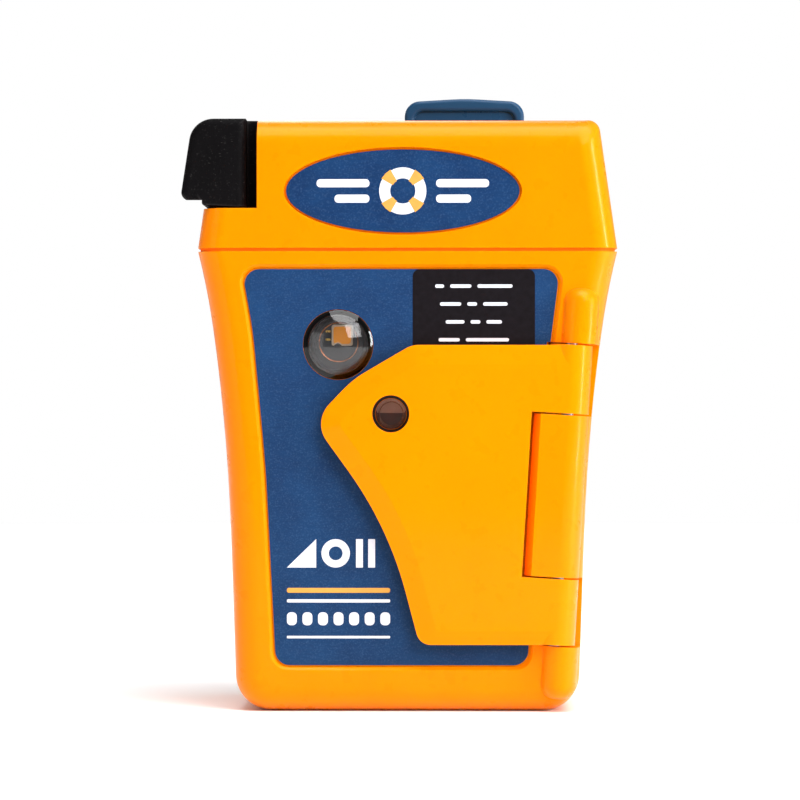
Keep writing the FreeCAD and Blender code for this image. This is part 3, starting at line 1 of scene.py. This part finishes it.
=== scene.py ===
import json
import math
import bpy
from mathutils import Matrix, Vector


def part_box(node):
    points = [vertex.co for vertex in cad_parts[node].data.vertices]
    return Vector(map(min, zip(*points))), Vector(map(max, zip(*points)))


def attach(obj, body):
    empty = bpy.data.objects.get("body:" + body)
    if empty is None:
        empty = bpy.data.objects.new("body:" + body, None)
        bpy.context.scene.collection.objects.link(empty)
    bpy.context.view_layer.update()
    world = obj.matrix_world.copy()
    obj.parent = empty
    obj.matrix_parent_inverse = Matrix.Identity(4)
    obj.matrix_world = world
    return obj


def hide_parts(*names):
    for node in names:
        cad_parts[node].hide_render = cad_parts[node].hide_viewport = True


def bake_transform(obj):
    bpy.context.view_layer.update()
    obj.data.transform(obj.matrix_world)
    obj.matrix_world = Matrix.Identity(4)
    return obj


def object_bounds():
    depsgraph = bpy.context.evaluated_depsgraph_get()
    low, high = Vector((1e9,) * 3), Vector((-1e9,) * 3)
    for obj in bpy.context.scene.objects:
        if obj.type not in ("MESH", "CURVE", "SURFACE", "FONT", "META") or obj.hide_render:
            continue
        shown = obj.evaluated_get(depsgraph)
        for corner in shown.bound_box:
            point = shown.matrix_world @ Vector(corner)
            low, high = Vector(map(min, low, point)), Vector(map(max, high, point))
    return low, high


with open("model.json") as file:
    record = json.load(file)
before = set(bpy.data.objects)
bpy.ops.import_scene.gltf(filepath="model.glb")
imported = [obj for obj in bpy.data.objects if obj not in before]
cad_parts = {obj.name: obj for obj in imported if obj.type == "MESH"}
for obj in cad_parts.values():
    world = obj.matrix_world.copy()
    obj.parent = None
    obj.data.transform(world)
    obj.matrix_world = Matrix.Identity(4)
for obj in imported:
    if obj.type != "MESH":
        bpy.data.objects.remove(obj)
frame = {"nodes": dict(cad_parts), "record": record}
cad_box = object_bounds()

MM = 0.001
NODES = frame["nodes"]
SLOTS = {row["node"]: row["material_slot"] for row in frame["record"]["subparts"]}


def box_mm(node):
    """The lowest and highest corner of a CAD node, in millimetres."""
    return [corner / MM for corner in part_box(node)]


def placed(name, data):
    """A new object in the scene, made of this mesh, curve, lamp or camera."""
    thing = bpy.data.objects.new(name, data)
    bpy.context.scene.collection.objects.link(thing)
    return thing


# ---- building materials ----

def paint(red, green, blue):
    """A colour given as it looks on a screen, 0 to 255, turned into the light that Blender mixes."""
    def light(value):
        share = value / 255
        return share / 12.92 if share < 0.04045 else ((share + 0.055) / 1.055) ** 2.4
    return (light(red), light(green), light(blue), 1.0)


def dimmed(colour, share):
    """A colour with this share of its light left."""
    return tuple(share * value for value in colour[:3]) + (1.0,)


def new_surface(name, roughness, **sockets):
    """An empty material: its node tree and its shader, with the plain numbers already on the shader."""
    material = bpy.data.materials.new(name)
    material.use_nodes = True
    shader = material.node_tree.nodes["Principled BSDF"]
    shader.inputs["Roughness"].default_value = roughness
    for key, value in sockets.items():
        shader.inputs[key.replace("_", " ")].default_value = value
    return material, material.node_tree, shader


def add(tree, kind, inputs=None, **settings):
    """A new shader node. An input takes a value, or another node's output to link from."""
    made = tree.nodes.new("ShaderNode" + kind)
    for key, value in settings.items():
        setattr(made, key, value)
    for key, value in (inputs or {}).items():
        if isinstance(value, bpy.types.NodeSocket):
            tree.links.new(value, made.inputs[key])
        else:
            made.inputs[key].default_value = value
    return made


def feed(tree, shader, **fields):
    """Links outputs to the shader's inputs, such as Base_Color=body."""
    for key, value in fields.items():
        tree.links.new(value, shader.inputs[key.replace("_", " ")])


def place_on_piece(tree):
    """A point's own place in metres, which doesn't change when the piece moves."""
    return add(tree, "TexCoord").outputs["Object"]


def noise(tree, scale, detail=3.0, stretch=(1, 1, 1), rough=0.5):
    """Noise fixed to the piece. The scale is in lumps for each metre."""
    place = add(tree, "Mapping", {"Vector": place_on_piece(tree), "Scale": stretch}).outputs["Vector"]
    texture = {"Vector": place, "Scale": scale, "Detail": detail, "Roughness": rough}
    return add(tree, "TexNoise", texture).outputs["Fac"]


def cells(tree, scale, distance="EUCLIDEAN", randomness=1.0):
    """How far a point is from the middle of its cell. The scale is in cells for each metre."""
    texture = {"Vector": place_on_piece(tree), "Scale": scale, "Randomness": randomness}
    return add(tree, "TexVoronoi", texture, distance=distance).outputs["Distance"]


def height_above_floor(tree):
    return add(tree, "SeparateXYZ", {"Vector": place_on_piece(tree)}).outputs["Z"]


def spread(tree, value, low, high, low_out=0.0, high_out=1.0):
    """The part of a value between low and high, stretched over a new range."""
    limits = {"Value": value, "From Min": low, "From Max": high, "To Min": low_out, "To Max": high_out}
    return add(tree, "MapRange", limits).outputs["Result"]


def maths(tree, kind, first, second):
    return add(tree, "Math", {0: first, 1: second}, operation=kind).outputs["Value"]


def mix(tree, share, first, second):
    """Two colours mixed by a share."""
    return add(tree, "MixRGB", {"Fac": share, "Color1": first, "Color2": second}).outputs["Color"]


def tint(tree, body, share, strength, colour):
    """A colour laid over the body where the share is high, up to a strength."""
    return mix(tree, maths(tree, "MULTIPLY", share, strength), body, colour)


def edge_share(tree, width):
    """Rises from 0 on flat ground to 1 along an outer edge, over this width."""
    bevel = add(tree, "Bevel", {"Radius": width}, samples=4).outputs["Normal"]
    flat = add(tree, "NewGeometry").outputs["Normal"]
    agreement = add(tree, "VectorMath", {0: bevel, 1: flat}, operation="DOT_PRODUCT").outputs["Value"]
    flat_at, edge_at = 0.995, 0.86
    return spread(tree, agreement, flat_at, edge_at)


def put_bump(tree, shader, height, depth, edge=0.0):
    """Raises the surface by a height field, up to a depth in metres. An edge width softens corners."""
    inputs = {"Height": height, "Distance": depth}
    if edge:
        inputs["Normal"] = add(tree, "Bevel", {"Radius": edge}, samples=4).outputs["Normal"]
    feed(tree, shader, Normal=add(tree, "Bump", inputs).outputs["Normal"])


# ---- kinds of material ----

def moulded(name, colour, pale, roughness, grain=0.012, wear=0.5, **sockets):
    """Moulded plastic or rubber: a fine spark-eroded grain, slight flow marks, and edges rubbed paler."""
    material, tree, shader = new_surface(name, roughness, **sockets)
    flow = spread(tree, noise(tree, 130, detail=4, stretch=(1, 1, 0.4)), 0.3, 0.7)
    speck = spread(tree, noise(tree, 5200, detail=2), 0.35, 0.65)
    patches = spread(tree, noise(tree, 900, detail=4), 0.42, 0.62)
    body = tint(tree, colour, flow, 0.12, pale)
    body = tint(tree, body, speck, 0.06, pale)
    rubbed = maths(tree, "MULTIPLY", edge_share(tree, 0.35 * MM), maths(tree, "MULTIPLY", patches, wear))
    body = mix(tree, rubbed, body, pale)
    dull = spread(tree, noise(tree, 420, detail=5), 0.3, 0.7, roughness - 0.05, roughness + 0.07)
    feed(tree, shader, Base_Color=body, Roughness=dull)
    waves = maths(tree, "MULTIPLY", noise(tree, 240, detail=2), 1.5)
    put_bump(tree, shader, maths(tree, "ADD", noise(tree, 4300), waves), grain * MM, edge=0.12 * MM)
    return material


def dusty_black():
    """The antenna cap: a matt black with pale lint and dust caught in a leathery grain."""
    material, tree, shader = new_surface("black_cap", 0.5, Specular_IOR_Level=0.06)
    dust = spread(tree, noise(tree, 3100, detail=5, rough=0.7), 0.6, 0.74)
    lint = spread(tree, noise(tree, 1500, detail=2, stretch=(1, 1, 7)), 0.69, 0.75)
    body = mix(tree, spread(tree, noise(tree, 90), 0.3, 0.7), paint(5, 4, 5), paint(10, 8, 10))
    body = tint(tree, body, dust, 0.16, paint(110, 108, 106))
    body = tint(tree, body, lint, 0.2, paint(140, 136, 130))
    body = tint(tree, body, edge_share(tree, 0.4 * MM), 0.35, paint(70, 66, 66))
    feed(tree, shader, Base_Color=body, Roughness=spread(tree, noise(tree, 700), 0.3, 0.7, 0.5, 0.72))
    grain = maths(tree, "ADD", cells(tree, 1700), noise(tree, 4000))
    put_bump(tree, shader, grain, 0.02 * MM, edge=0.15 * MM)
    return material


def printed_film(name, node, top, foot):
    """A printed label over a fine woven texture of the film, its colour darkening towards the node's foot as
    painted shade.
    """
    material, tree, shader = new_surface(name, 0.42, Specular_IOR_Level=0.08)
    low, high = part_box(node)
    thread = spread(tree, noise(tree, 2600, detail=2, stretch=(0.35, 1, 1.6), rough=0.6), 0.3, 0.7)
    speck = spread(tree, noise(tree, 5200), 0.5, 0.75)
    clouds = spread(tree, noise(tree, 210), 0.35, 0.7)
    # Painted shade: the colour goes from the top colour down to the darker foot colour.
    body = mix(tree, spread(tree, height_above_floor(tree), high.z, low.z), top, foot)
    body = tint(tree, body, thread, 0.3, dimmed(top, 0.5))
    body = tint(tree, body, speck, 0.16, paint(92, 120, 160))
    body = tint(tree, body, clouds, 0.12, paint(40, 96, 150))
    feed(tree, shader, Base_Color=body, Roughness=spread(tree, thread, 0, 1, 0.36, 0.5))
    put_bump(tree, shader, thread, 0.008 * MM)
    return material


def ink(name, colour, worn, roughness=0.4):
    """Printing ink: slightly uneven, with pinholes where it missed the film."""
    material, tree, shader = new_surface(name, roughness, Specular_IOR_Level=0.1)
    missed = spread(tree, noise(tree, 6500, detail=2), 0.68, 0.76)
    uneven = spread(tree, noise(tree, 1400), 0.3, 0.7)
    body = tint(tree, colour, missed, 0.5, worn)
    body = tint(tree, body, uneven, 0.25, worn)
    dull = spread(tree, noise(tree, 2600), 0.3, 0.7, roughness - 0.05, roughness + 0.1)
    feed(tree, shader, Base_Color=body, Roughness=dull)
    put_bump(tree, shader, noise(tree, 2600, detail=2), 0.003 * MM)
    return material


def metal(name, colour, tarnished, roughness, stretch=(1, 1, 1)):
    """Bare metal: drawn or rolled streaks along one axis, and a faint tarnish."""
    material, tree, shader = new_surface(name, roughness, Metallic=1.0)
    streaks = spread(tree, noise(tree, 2600, detail=4, stretch=stretch), 0.3, 0.7)
    tarnish = spread(tree, noise(tree, 240, detail=5, rough=0.65), 0.45, 0.7)
    dull = maths(tree, "ADD", spread(tree, streaks, 0, 1, roughness - 0.06, roughness + 0.1),
                 maths(tree, "MULTIPLY", tarnish, 0.12))
    feed(tree, shader, Base_Color=tint(tree, colour, tarnish, 0.6, tarnished), Roughness=dull)
    put_bump(tree, shader, streaks, 0.004 * MM, edge=0.06 * MM)
    return material


def clear(name, colour, roughness, ior, smoke=0.0):
    """Clear moulding: polished, with fine rubbing marks that only show in reflections."""
    material, tree, shader = new_surface(name, roughness, Transmission_Weight=1.0, IOR=ior)
    swirls = noise(tree, 900, detail=4, stretch=(1, 1, 0.2))
    scratches = spread(tree, noise(tree, 5000, detail=2, stretch=(0.05, 1, 1)), 0.66, 0.74)
    body = mix(tree, spread(tree, swirls, 0.4, 0.7), colour, dimmed(colour, 1 - smoke))
    dull = spread(tree, scratches, 0, 1, roughness, roughness + 0.16)
    feed(tree, shader, Base_Color=body, Roughness=dull)
    put_bump(tree, shader, swirls, 0.0006 * MM)
    return material


def board():
    """A circuit board: green solder mask, paler along its tracks, with tinned pads."""
    material, tree, shader = new_surface("circuit_board", 0.32)
    tracks = spread(tree, cells(tree, 620, distance="CHEBYCHEV"), 0.42, 0.5)
    pads = spread(tree, cells(tree, 900, distance="CHEBYCHEV", randomness=0.4), 0.16, 0.12)
    body = mix(tree, tracks, paint(14, 92, 44), paint(28, 122, 62))
    body = mix(tree, pads, body, paint(196, 190, 172))
    feed(tree, shader, Base_Color=body, Metallic=pads)
    put_bump(tree, shader, tracks, 0.02 * MM, edge=0.05 * MM)
    return material


def printed_sleeve():
    """The shrink sleeve of a cell: a blue film with silver bands, drawn tight over the can."""
    material, tree, shader = new_surface("cell_can", 0.3, Coat_Weight=0.4)
    half_pitch, half_band = 9 * MM, 2.2 * MM
    from_band = maths(tree, "PINGPONG", height_above_floor(tree), half_pitch)
    body = mix(tree, spread(tree, noise(tree, 300), 0.3, 0.7), paint(40, 92, 160), paint(52, 108, 178))
    body = mix(tree, maths(tree, "LESS_THAN", from_band, half_band), body, paint(190, 192, 196))
    feed(tree, shader, Base_Color=body)
    put_bump(tree, shader, noise(tree, 500, detail=4), 0.03 * MM)
    return material


# ---- the materials ----

ORANGE = paint(252, 129, 0)
# The flap's orange is the case's orange a touch lighter: painted light on the flap, which stands proud.
FLAP_ORANGE = paint(255, 133, 0)
PALE_ORANGE = paint(255, 158, 0)
# The tint keeps highlights on the orange yellow.
GLOSSY_ORANGE = {
    "Specular_IOR_Level": 0.4, "Specular_Tint": (1.0, 0.5, 0.0, 1.0),
    "Coat_Weight": 0.1, "Coat_Roughness": 0.06,
    "Subsurface_Weight": 0.15, "Subsurface_Radius": (1.2, 0.5, 0.1), "Subsurface_Scale": MM,
}

FINISHES = {
    "orange_case": lambda: moulded("orange_case", ORANGE, PALE_ORANGE, 0.3, **GLOSSY_ORANGE),
    "orange_flap": lambda: moulded("orange_flap", FLAP_ORANGE, PALE_ORANGE, 0.3, **GLOSSY_ORANGE),
    # The seals' red-orange stands in for the orange walls' light reflected into the shadow gap between head
    # and body: painted reflection.
    "orange_seal": lambda: moulded("orange_seal", paint(255, 112, 0), paint(255, 132, 0), 0.6,
                                   grain=0.02, Specular_IOR_Level=0.1),
    "black_seal": lambda: moulded("black_seal", paint(22, 22, 22), paint(60, 60, 60), 0.65, grain=0.02),
    "black_cap": dusty_black,
    "black_plastic": lambda: moulded("black_plastic", paint(28, 28, 30), paint(74, 74, 76), 0.45),
    "white_nylon": lambda: moulded("white_nylon", paint(226, 224, 216), paint(244, 242, 236), 0.5),
    "blue_plastic": lambda: moulded("blue_plastic", paint(26, 65, 99), paint(54, 96, 134), 0.3,
                                    grain=0.006, wear=0.25, Specular_IOR_Level=0.2),
    "red_button": lambda: moulded("red_button", paint(196, 32, 26), paint(224, 84, 70), 0.42),
    "grey_button": lambda: moulded("grey_button", paint(138, 142, 148), paint(176, 180, 184), 0.45),
    "led_ceramic": lambda: moulded("led_ceramic", paint(150, 134, 112), paint(176, 162, 140), 0.4,
                                   grain=0.01),
    "antenna_ceramic": lambda: moulded("antenna_ceramic", paint(222, 214, 196), paint(240, 236, 226), 0.55,
                                       grain=0.02),
    # The foot colour is the label's blue darkened as painted shade.
    "blue_label": lambda: printed_film("blue_label", "front_label", paint(24, 55, 96), paint(26, 53, 89)),
    "clear_lens": lambda: clear("clear_lens", paint(246, 246, 248), 0.03, ior=1.4),
    "smoked_lens": lambda: clear("smoked_lens", paint(226, 216, 210), 0.05, ior=1.45, smoke=0.1),
    "steel": lambda: metal("steel", paint(196, 196, 198), paint(150, 148, 146), 0.3, stretch=(1, 6, 1)),
    "spring_steel": lambda: metal("spring_steel", paint(150, 152, 158), paint(96, 90, 86), 0.3,
                                  stretch=(1, 1, 0.15)),
    "brass": lambda: metal("brass", paint(214, 176, 96), paint(160, 120, 60), 0.25, stretch=(6, 1, 1)),
    "copper": lambda: metal("copper", paint(214, 140, 92), paint(150, 84, 50), 0.16),
    "shield_tin": lambda: metal("shield_tin", paint(206, 206, 204), paint(160, 160, 158), 0.34,
                                stretch=(1, 1, 8)),
    "circuit_board": board,
    "cell_can": printed_sleeve,
}


def finish_cad_nodes():
    """Each CAD node takes the finish of its slot, but the badge and the indicator's bezel have their own."""
    made = {slot: FINISHES[slot]() for slot in sorted(set(SLOTS.values()))}
    for name, node in NODES.items():
        node.data.materials.clear()
        node.data.materials.append(made[SLOTS[name]])
    badge_blue = paint(18, 49, 90)
    film = printed_film("badge_film", "head_badge", badge_blue, badge_blue)
    # The bezel is black plastic, darkened further and warmed towards brown as painted shade of the hole it
    # sits in.
    bezel = moulded("bezel_black", paint(14, 9, 8), paint(40, 30, 26), 0.4, Specular_IOR_Level=0.15)
    NODES["head_badge"].data.materials[0] = film
    NODES["indicator_bezel"].data.materials[0] = bezel
    return made


# ---- outlines, in millimetres: x across and z up ----

def arc(x, z, radius, start, turn, steps=6):
    """Points along an arc round (x, z). Its angles are in degrees."""
    angles = [math.radians(start + turn * i / steps) for i in range(steps + 1)]
    return [(x + radius * math.cos(angle), z + radius * math.sin(angle)) for angle in angles]


def disc(x, z, radius, steps=48):
    return arc(x, z, radius, 0, 360, steps)[:-1]


def bar(left, right, low, high, rounding=0.0):
    """A rectangle, with round corners if asked."""
    if not rounding:
        return [(left, low), (right, low), (right, high), (left, high)]
    inner_left, inner_right = left + rounding, right - rounding
    inner_low, inner_high = low + rounding, high - rounding
    return (arc(inner_right, inner_low, rounding, -90, 90) + arc(inner_right, inner_high, rounding, 0, 90)
            + arc(inner_left, inner_high, rounding, 90, 90) + arc(inner_left, inner_low, rounding, 180, 90))


# ---- printed marks and thin inlays ----

INK = 0.012
INK_GAP = 0.004
FORWARD, BACKWARD = -1, 1


def mark(name, outlines, face, material, towards=FORWARD, body="case", depth=INK):
    """A thin layer just off a face that looks forward or backward. The face is its y, in millimetres."""
    curve = bpy.data.curves.new(name, "CURVE")
    curve.dimensions = "2D"
    curve.fill_mode = "BOTH"
    curve.extrude = depth / 2 * MM
    for outline in outlines:
        spline = curve.splines.new("POLY")
        spline.points.add(len(outline) - 1)
        for point, (x, z) in zip(spline.points, outline):
            point.co = (x * MM, z * MM, 0, 1)
        spline.use_cyclic_u = True
    shaper = placed(name + "_outline", curve)
    bpy.context.view_layer.update()
    flat = bpy.data.meshes.new_from_object(shaper.evaluated_get(bpy.context.evaluated_depsgraph_get()))
    bpy.data.objects.remove(shaper)
    middle = (face + towards * (depth / 2 + INK_GAP)) * MM
    for vertex in flat.vertices:
        vertex.co = (vertex.co.x, middle + vertex.co.z, vertex.co.y)
    flat.flip_normals()
    flat.materials.append(material)
    piece = placed(name, flat)
    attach(piece, body)
    return piece


def badge_mark():
    """A plain lifebuoy between two pairs of bars."""
    low, high = box_mm("head_badge")
    face, x, z = low.y, (low.x + high.x) / 2, (low.z + high.z) / 2
    ring, hole = 2.9, 1.55
    mark("badge_ring", [disc(x, z, ring), disc(x, z, hole)], face, white_ink)
    overlap, half_wrap = 0.12, 15
    wraps = []
    for middle in (45, 135, 225, 315):
        wraps.append(arc(x, z, ring + overlap, middle - half_wrap, 2 * half_wrap, 2)
                     + arc(x, z, hole - overlap, middle + half_wrap, -2 * half_wrap, 2))
    mark("badge_wraps", wraps, face - INK - INK_GAP, gold_ink)
    inner, half_height = 4.1, 0.5
    bars = []
    for side in (-1, 1):
        for level, outer in ((0.95, 10.6), (-0.95, 8.4)):
            left, right = sorted((x + side * inner, x + side * outer))
            bars.append(bar(left, right, z + level - half_height, z + level + half_height, 0.45))
    mark("badge_bars", bars, face, white_ink)


def label_window():
    """The black window at the top of the label, notched at the hinge block, with rows of plain dashes."""
    low, high = box_mm("front_label")
    face, top = low.y, high.z
    left, right, rounding = 0.66, 15.7, 0.9
    foot, notch_side, notch_height = top - 21.4, 14.1, top - 16.5
    outline = arc(right - rounding, top - rounding, rounding, 0, 90)
    outline += arc(left + rounding, top - rounding, rounding, 90, 90)
    outline += [(left, foot), (notch_side, foot), (notch_side, notch_height), (right, notch_height)]
    mark("label_window", [outline], face, black_ink)

    rows = ((1.1, 2.6, 4.3), (2.6, 1.2, 3.0), (2.3, 1.2, 1.9), (2.6, 5.3))
    first_row, pitch, space, half_height = 2.1, 2.2, 0.75, 0.21
    dashes = []
    for row, lengths in enumerate(rows):
        x = (left + right) / 2 - (sum(lengths) + space * (len(lengths) - 1)) / 2
        z = top - first_row - row * pitch
        for length in lengths:
            dashes.append(bar(x, x + length, z - half_height, z + half_height, 0.2))
            x += length + space
    mark("window_lines", dashes, face - INK - INK_GAP, white_ink)


def lower_marks():
    """A sail, a buoy and two posts over plain rules and beads, near the foot of the label."""
    low, high = box_mm("front_label")
    face, base = low.y, low.z
    left, right = -14.8, -2.1
    foot, head = base + 12.0, base + 15.5
    sail = [(left, foot), (left + 3.6, foot), (left + 3.6, head)]
    buoy = [disc(left + 6.0, (foot + head) / 2, radius) for radius in (1.75, 0.85)]
    posts = [bar(left + x, left + x + 0.85, foot, head) for x in (8.5, 10.0)]
    mark("label_shapes", [sail] + buoy + posts, face, white_ink)
    gold_rule = bar(left, right, base + 8.9, base + 9.5, 0.25)
    mark("label_gold_rule", [gold_rule], face, gold_ink)

    upper_rule = bar(left, right, base + 7.7, base + 8.1, 0.15)
    lower_rule = bar(left, right, base + 3.3, base + 3.6, 0.1)
    count, gap = 7, 0.7
    width = (right - left - gap * (count - 1)) / count
    starts = [left + i * (width + gap) for i in range(count)]
    beads = [bar(start, start + width, base + 4.9, base + 6.5, 0.5) for start in starts]
    mark("label_rules", [upper_rule] + beads + [lower_rule], face, white_ink)


def rear_marks():
    """Blank ruled fields on the rear label."""
    low, high = box_mm("rear_label")
    rows, inset, half_gap, line = 4, 1.4, 0.3, 0.25
    pitch = (high.z - low.z - 2 * inset) / rows
    fields = []
    for row in range(rows):
        foot = low.z + inset + row * pitch
        for border, rounding in ((0, 0.4), (line, 0.3)):
            fields.append(bar(low.x + inset + border, high.x - inset - border,
                              foot + half_gap + border, foot + pitch - half_gap - border, rounding))
    mark("rear_fields", fields, high.y, white_ink, BACKWARD)


def dial_marks():
    """A turning arrow on the winder dial: a good part of a ring, and its head."""
    low, high = box_mm("winder_dial")
    x, z = (low.x + high.x) / 2, (low.z + high.z) / 2
    outer, inner, barb = 3.9, 3.4, 0.6
    start, turn, steps = 40, 250, 24
    ring = arc(x, z, outer, start, turn, steps) + arc(x, z, inner, start + turn, -turn, steps)
    base, lead = math.radians(start), 0.35
    corners = ((outer + barb, base), (inner - barb, base), ((outer + inner) / 2, base - lead))
    head = [(x + radius * math.cos(angle), z + radius * math.sin(angle)) for radius, angle in corners]
    mark("dial_arrow", [ring, head], high.y, white_ink, BACKWARD, "antenna_reel")


def strobe_die():
    """The phosphor square of the flash on its pale ceramic base, and two bond pads beside it."""
    low, high = box_mm("strobe_led")
    border = 0.22
    die = bar(low.x + border, high.x - border, low.z + border, high.z - border, 0.35)
    mark("strobe_die", [die], low.y, phosphor, depth=0.06)
    middle, half_height = (low.z + high.z) / 2, 0.12
    pads = [bar(low.x - 0.75, low.x - 0.15, z - half_height, z + half_height, 0.08)
            for z in (middle - 0.5, middle + 0.5)]
    mark("strobe_pads", pads, high.y - 0.03, finishes["brass"], depth=0.04)


def indicator_core():
    """What shows through the smoked window: a brown holder whose upper half is painted paler, as painted
    light from above, and a copper ring.
    """
    low, high = box_mm("indicator_lens")
    back, x, z = high.y, (low.x + high.x) / 2, (low.z + high.z) / 2
    ring = [disc(x, z, 1.5), disc(x, z, 1.42)]
    upper_half = arc(x, z + 0.1, 1.55, 0, 180, 24)
    mark("indicator_floor", [disc(x, z, 1.85)], back + 0.13, holder, BACKWARD, depth=0.05)
    # Painted light: the upper half is a paler copy of the holder, as if lit from above.
    mark("indicator_painted_highlight", [upper_half], back + 0.07, painted_lit_holder, BACKWARD, depth=0.03)
    mark("indicator_ring", ring, back + 0.03, finishes["copper"], BACKWARD, depth=0.02)


# ---- the springs and the antenna tape ----

def springs():
    """Each spring's coil, copied still from its CAD node, which is hidden. In the beacon one leg is held by
    the case and the other by what turns.
    """
    for node, body in (("flap_spring", "flap"), ("clip_spring", "clip_lever")):
        coil = placed(node + "_coil", NODES[node].data.copy())
        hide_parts(node)
        if body == "flap":
            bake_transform(coil)
        else:
            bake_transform(coil)


def tape():
    """The antenna tape between the mouth of the case and the cap, which draws out in the beacon: here a
    still, cupped strip.
    """
    low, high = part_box("antenna_tape")
    rows, across = 120, 12
    width, thickness, cup = high.y - low.y, 0.12 * MM, 0.3 * MM
    points = []
    for row in range(rows + 1):
        z = low.z + (high.z - low.z) * row / rows
        for offset in (0, thickness):
            for i in range(across + 1):
                share = i / across
                sag = cup * (1 - (2 * share - 1) ** 2)
                points.append((low.x - sag + offset, low.y + width * share, z))
    one_row = 2 * (across + 1)
    loop = list(range(across + 1)) + list(reversed(range(across + 1, one_row)))
    faces = []
    for start in range(0, rows * one_row, one_row):
        for first, second in zip(loop, loop[1:] + loop[:1]):
            above = start + one_row
            faces.append((start + first, start + second, above + second, above + first))
    faces.append(tuple(reversed(loop)))
    faces.append(tuple(rows * one_row + i for i in loop))
    mesh = bpy.data.meshes.new("antenna_strip")
    mesh.from_pydata(points, [], faces)
    mesh.update()
    mesh.materials.append(finishes["spring_steel"])
    strip = placed("antenna_strip", mesh)
    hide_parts("antenna_tape")
    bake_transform(strip)


# ---- the scene around it ----

SKY = 0.2
SUN = 3.1
# name, place and size in metres, power in watts
LAMPS = (
    ("key", (0.28, -0.42, 0.34), (0.30, 0.30), 2.0),
    ("fill", (-0.45, -0.40, 0.10), (0.30, 0.40), 0.45),
    ("side", (0.40, -0.14, 0.08), (0.06, 0.30), 1.5),
    ("back", (-0.2, 0.5, 0.35), (0.45, 0.45), 1.7),
)


def pale_floor():
    """A wide plain disc, just under the beacon."""
    material, tree, shader = new_surface("studio_floor", 0.7, Specular_IOR_Level=0.1)
    tone = mix(tree, spread(tree, noise(tree, 3), 0.3, 0.7), paint(250, 250, 250), paint(246, 246, 246))
    feed(tree, shader, Base_Color=tone)
    reach, clearance = 0.72, 0.05 * MM
    rim = disc(0, 0, reach, 96)
    mesh = bpy.data.meshes.new("floor")
    mesh.from_pydata([(x, y, 0) for x, y in rim], [], [tuple(range(len(rim)))])
    mesh.materials.append(material)
    floor = placed("floor", mesh)
    floor.location.z = cad_box[0][2] - clearance


def sky():
    """A sky that looks white and lights the beacon only dimly."""
    world = bpy.data.worlds.new("studio")
    bpy.context.scene.world = world
    world.use_nodes = True
    tree = world.node_tree
    seen = add(tree, "LightPath").outputs["Is Camera Ray"]
    background = tree.nodes["Background"]
    background.inputs["Color"].default_value = (1, 1, 1, 1)
    feed(tree, background, Strength=spread(tree, seen, 0, 1, SKY, 1.0))


def lamps():
    """A very soft sun overhead, and rectangular lamps that look at the beacon."""
    sun = bpy.data.lights.new("overhead", "SUN")
    sun.energy = SUN
    sun.angle = math.radians(50)
    placed("overhead", sun).rotation_euler = (math.radians(16), math.radians(10), 0)
    middle = Vector((0, 0, 40 * MM))
    for name, place, (width, height), power in LAMPS:
        lamp = bpy.data.lights.new(name, "AREA")
        lamp.shape = "RECTANGLE"
        lamp.size, lamp.size_y = width, height
        lamp.energy = power
        light = placed(name, lamp)
        light.location = place
        light.rotation_euler = (Vector(place) - middle).to_track_quat("Z", "Y").to_euler()


def camera():
    """A long lens level with the middle of the beacon, a touch to its right."""
    width_seen, distance, turn = 97.9 * MM, 480 * MM, math.radians(0.8)
    aim = Vector((-0.86 * MM, cad_box[0][1], 38.3 * MM))
    data = bpy.data.cameras.new("camera")
    data.sensor_width = 36
    data.lens = data.sensor_width * distance / width_seen
    data.clip_start = 0.01
    eye = placed("camera", data)
    eye.location = aim + distance * Vector((math.sin(turn), -math.cos(turn), 0))
    eye.rotation_euler = (math.pi / 2, 0, turn)
    bpy.context.scene.camera = eye
    bpy.context.scene.view_settings.view_transform = "Standard"


finishes = finish_cad_nodes()
white_ink = ink("white_ink", paint(226, 228, 236), paint(176, 186, 206))
gold_ink = ink("gold_ink", paint(222, 160, 74), paint(170, 128, 76))
black_ink = ink("black_ink", paint(17, 13, 16), paint(34, 30, 36), 0.34)
phosphor = moulded("phosphor", paint(190, 114, 0), paint(214, 148, 20), 0.35, grain=0.004)
holder = moulded("indicator_holder", paint(104, 84, 78), paint(130, 108, 98), 0.5)
# The holder's brown made paler: painted light for the holder's upper half.
painted_lit_holder = moulded("indicator_holder_painted_light", paint(226, 200, 184), paint(240, 220, 206), 0.45)
badge_mark()
label_window()
lower_marks()
rear_marks()
dial_marks()
strobe_die()
indicator_core()
springs()
tape()
pale_floor()
sky()
lamps()
camera()
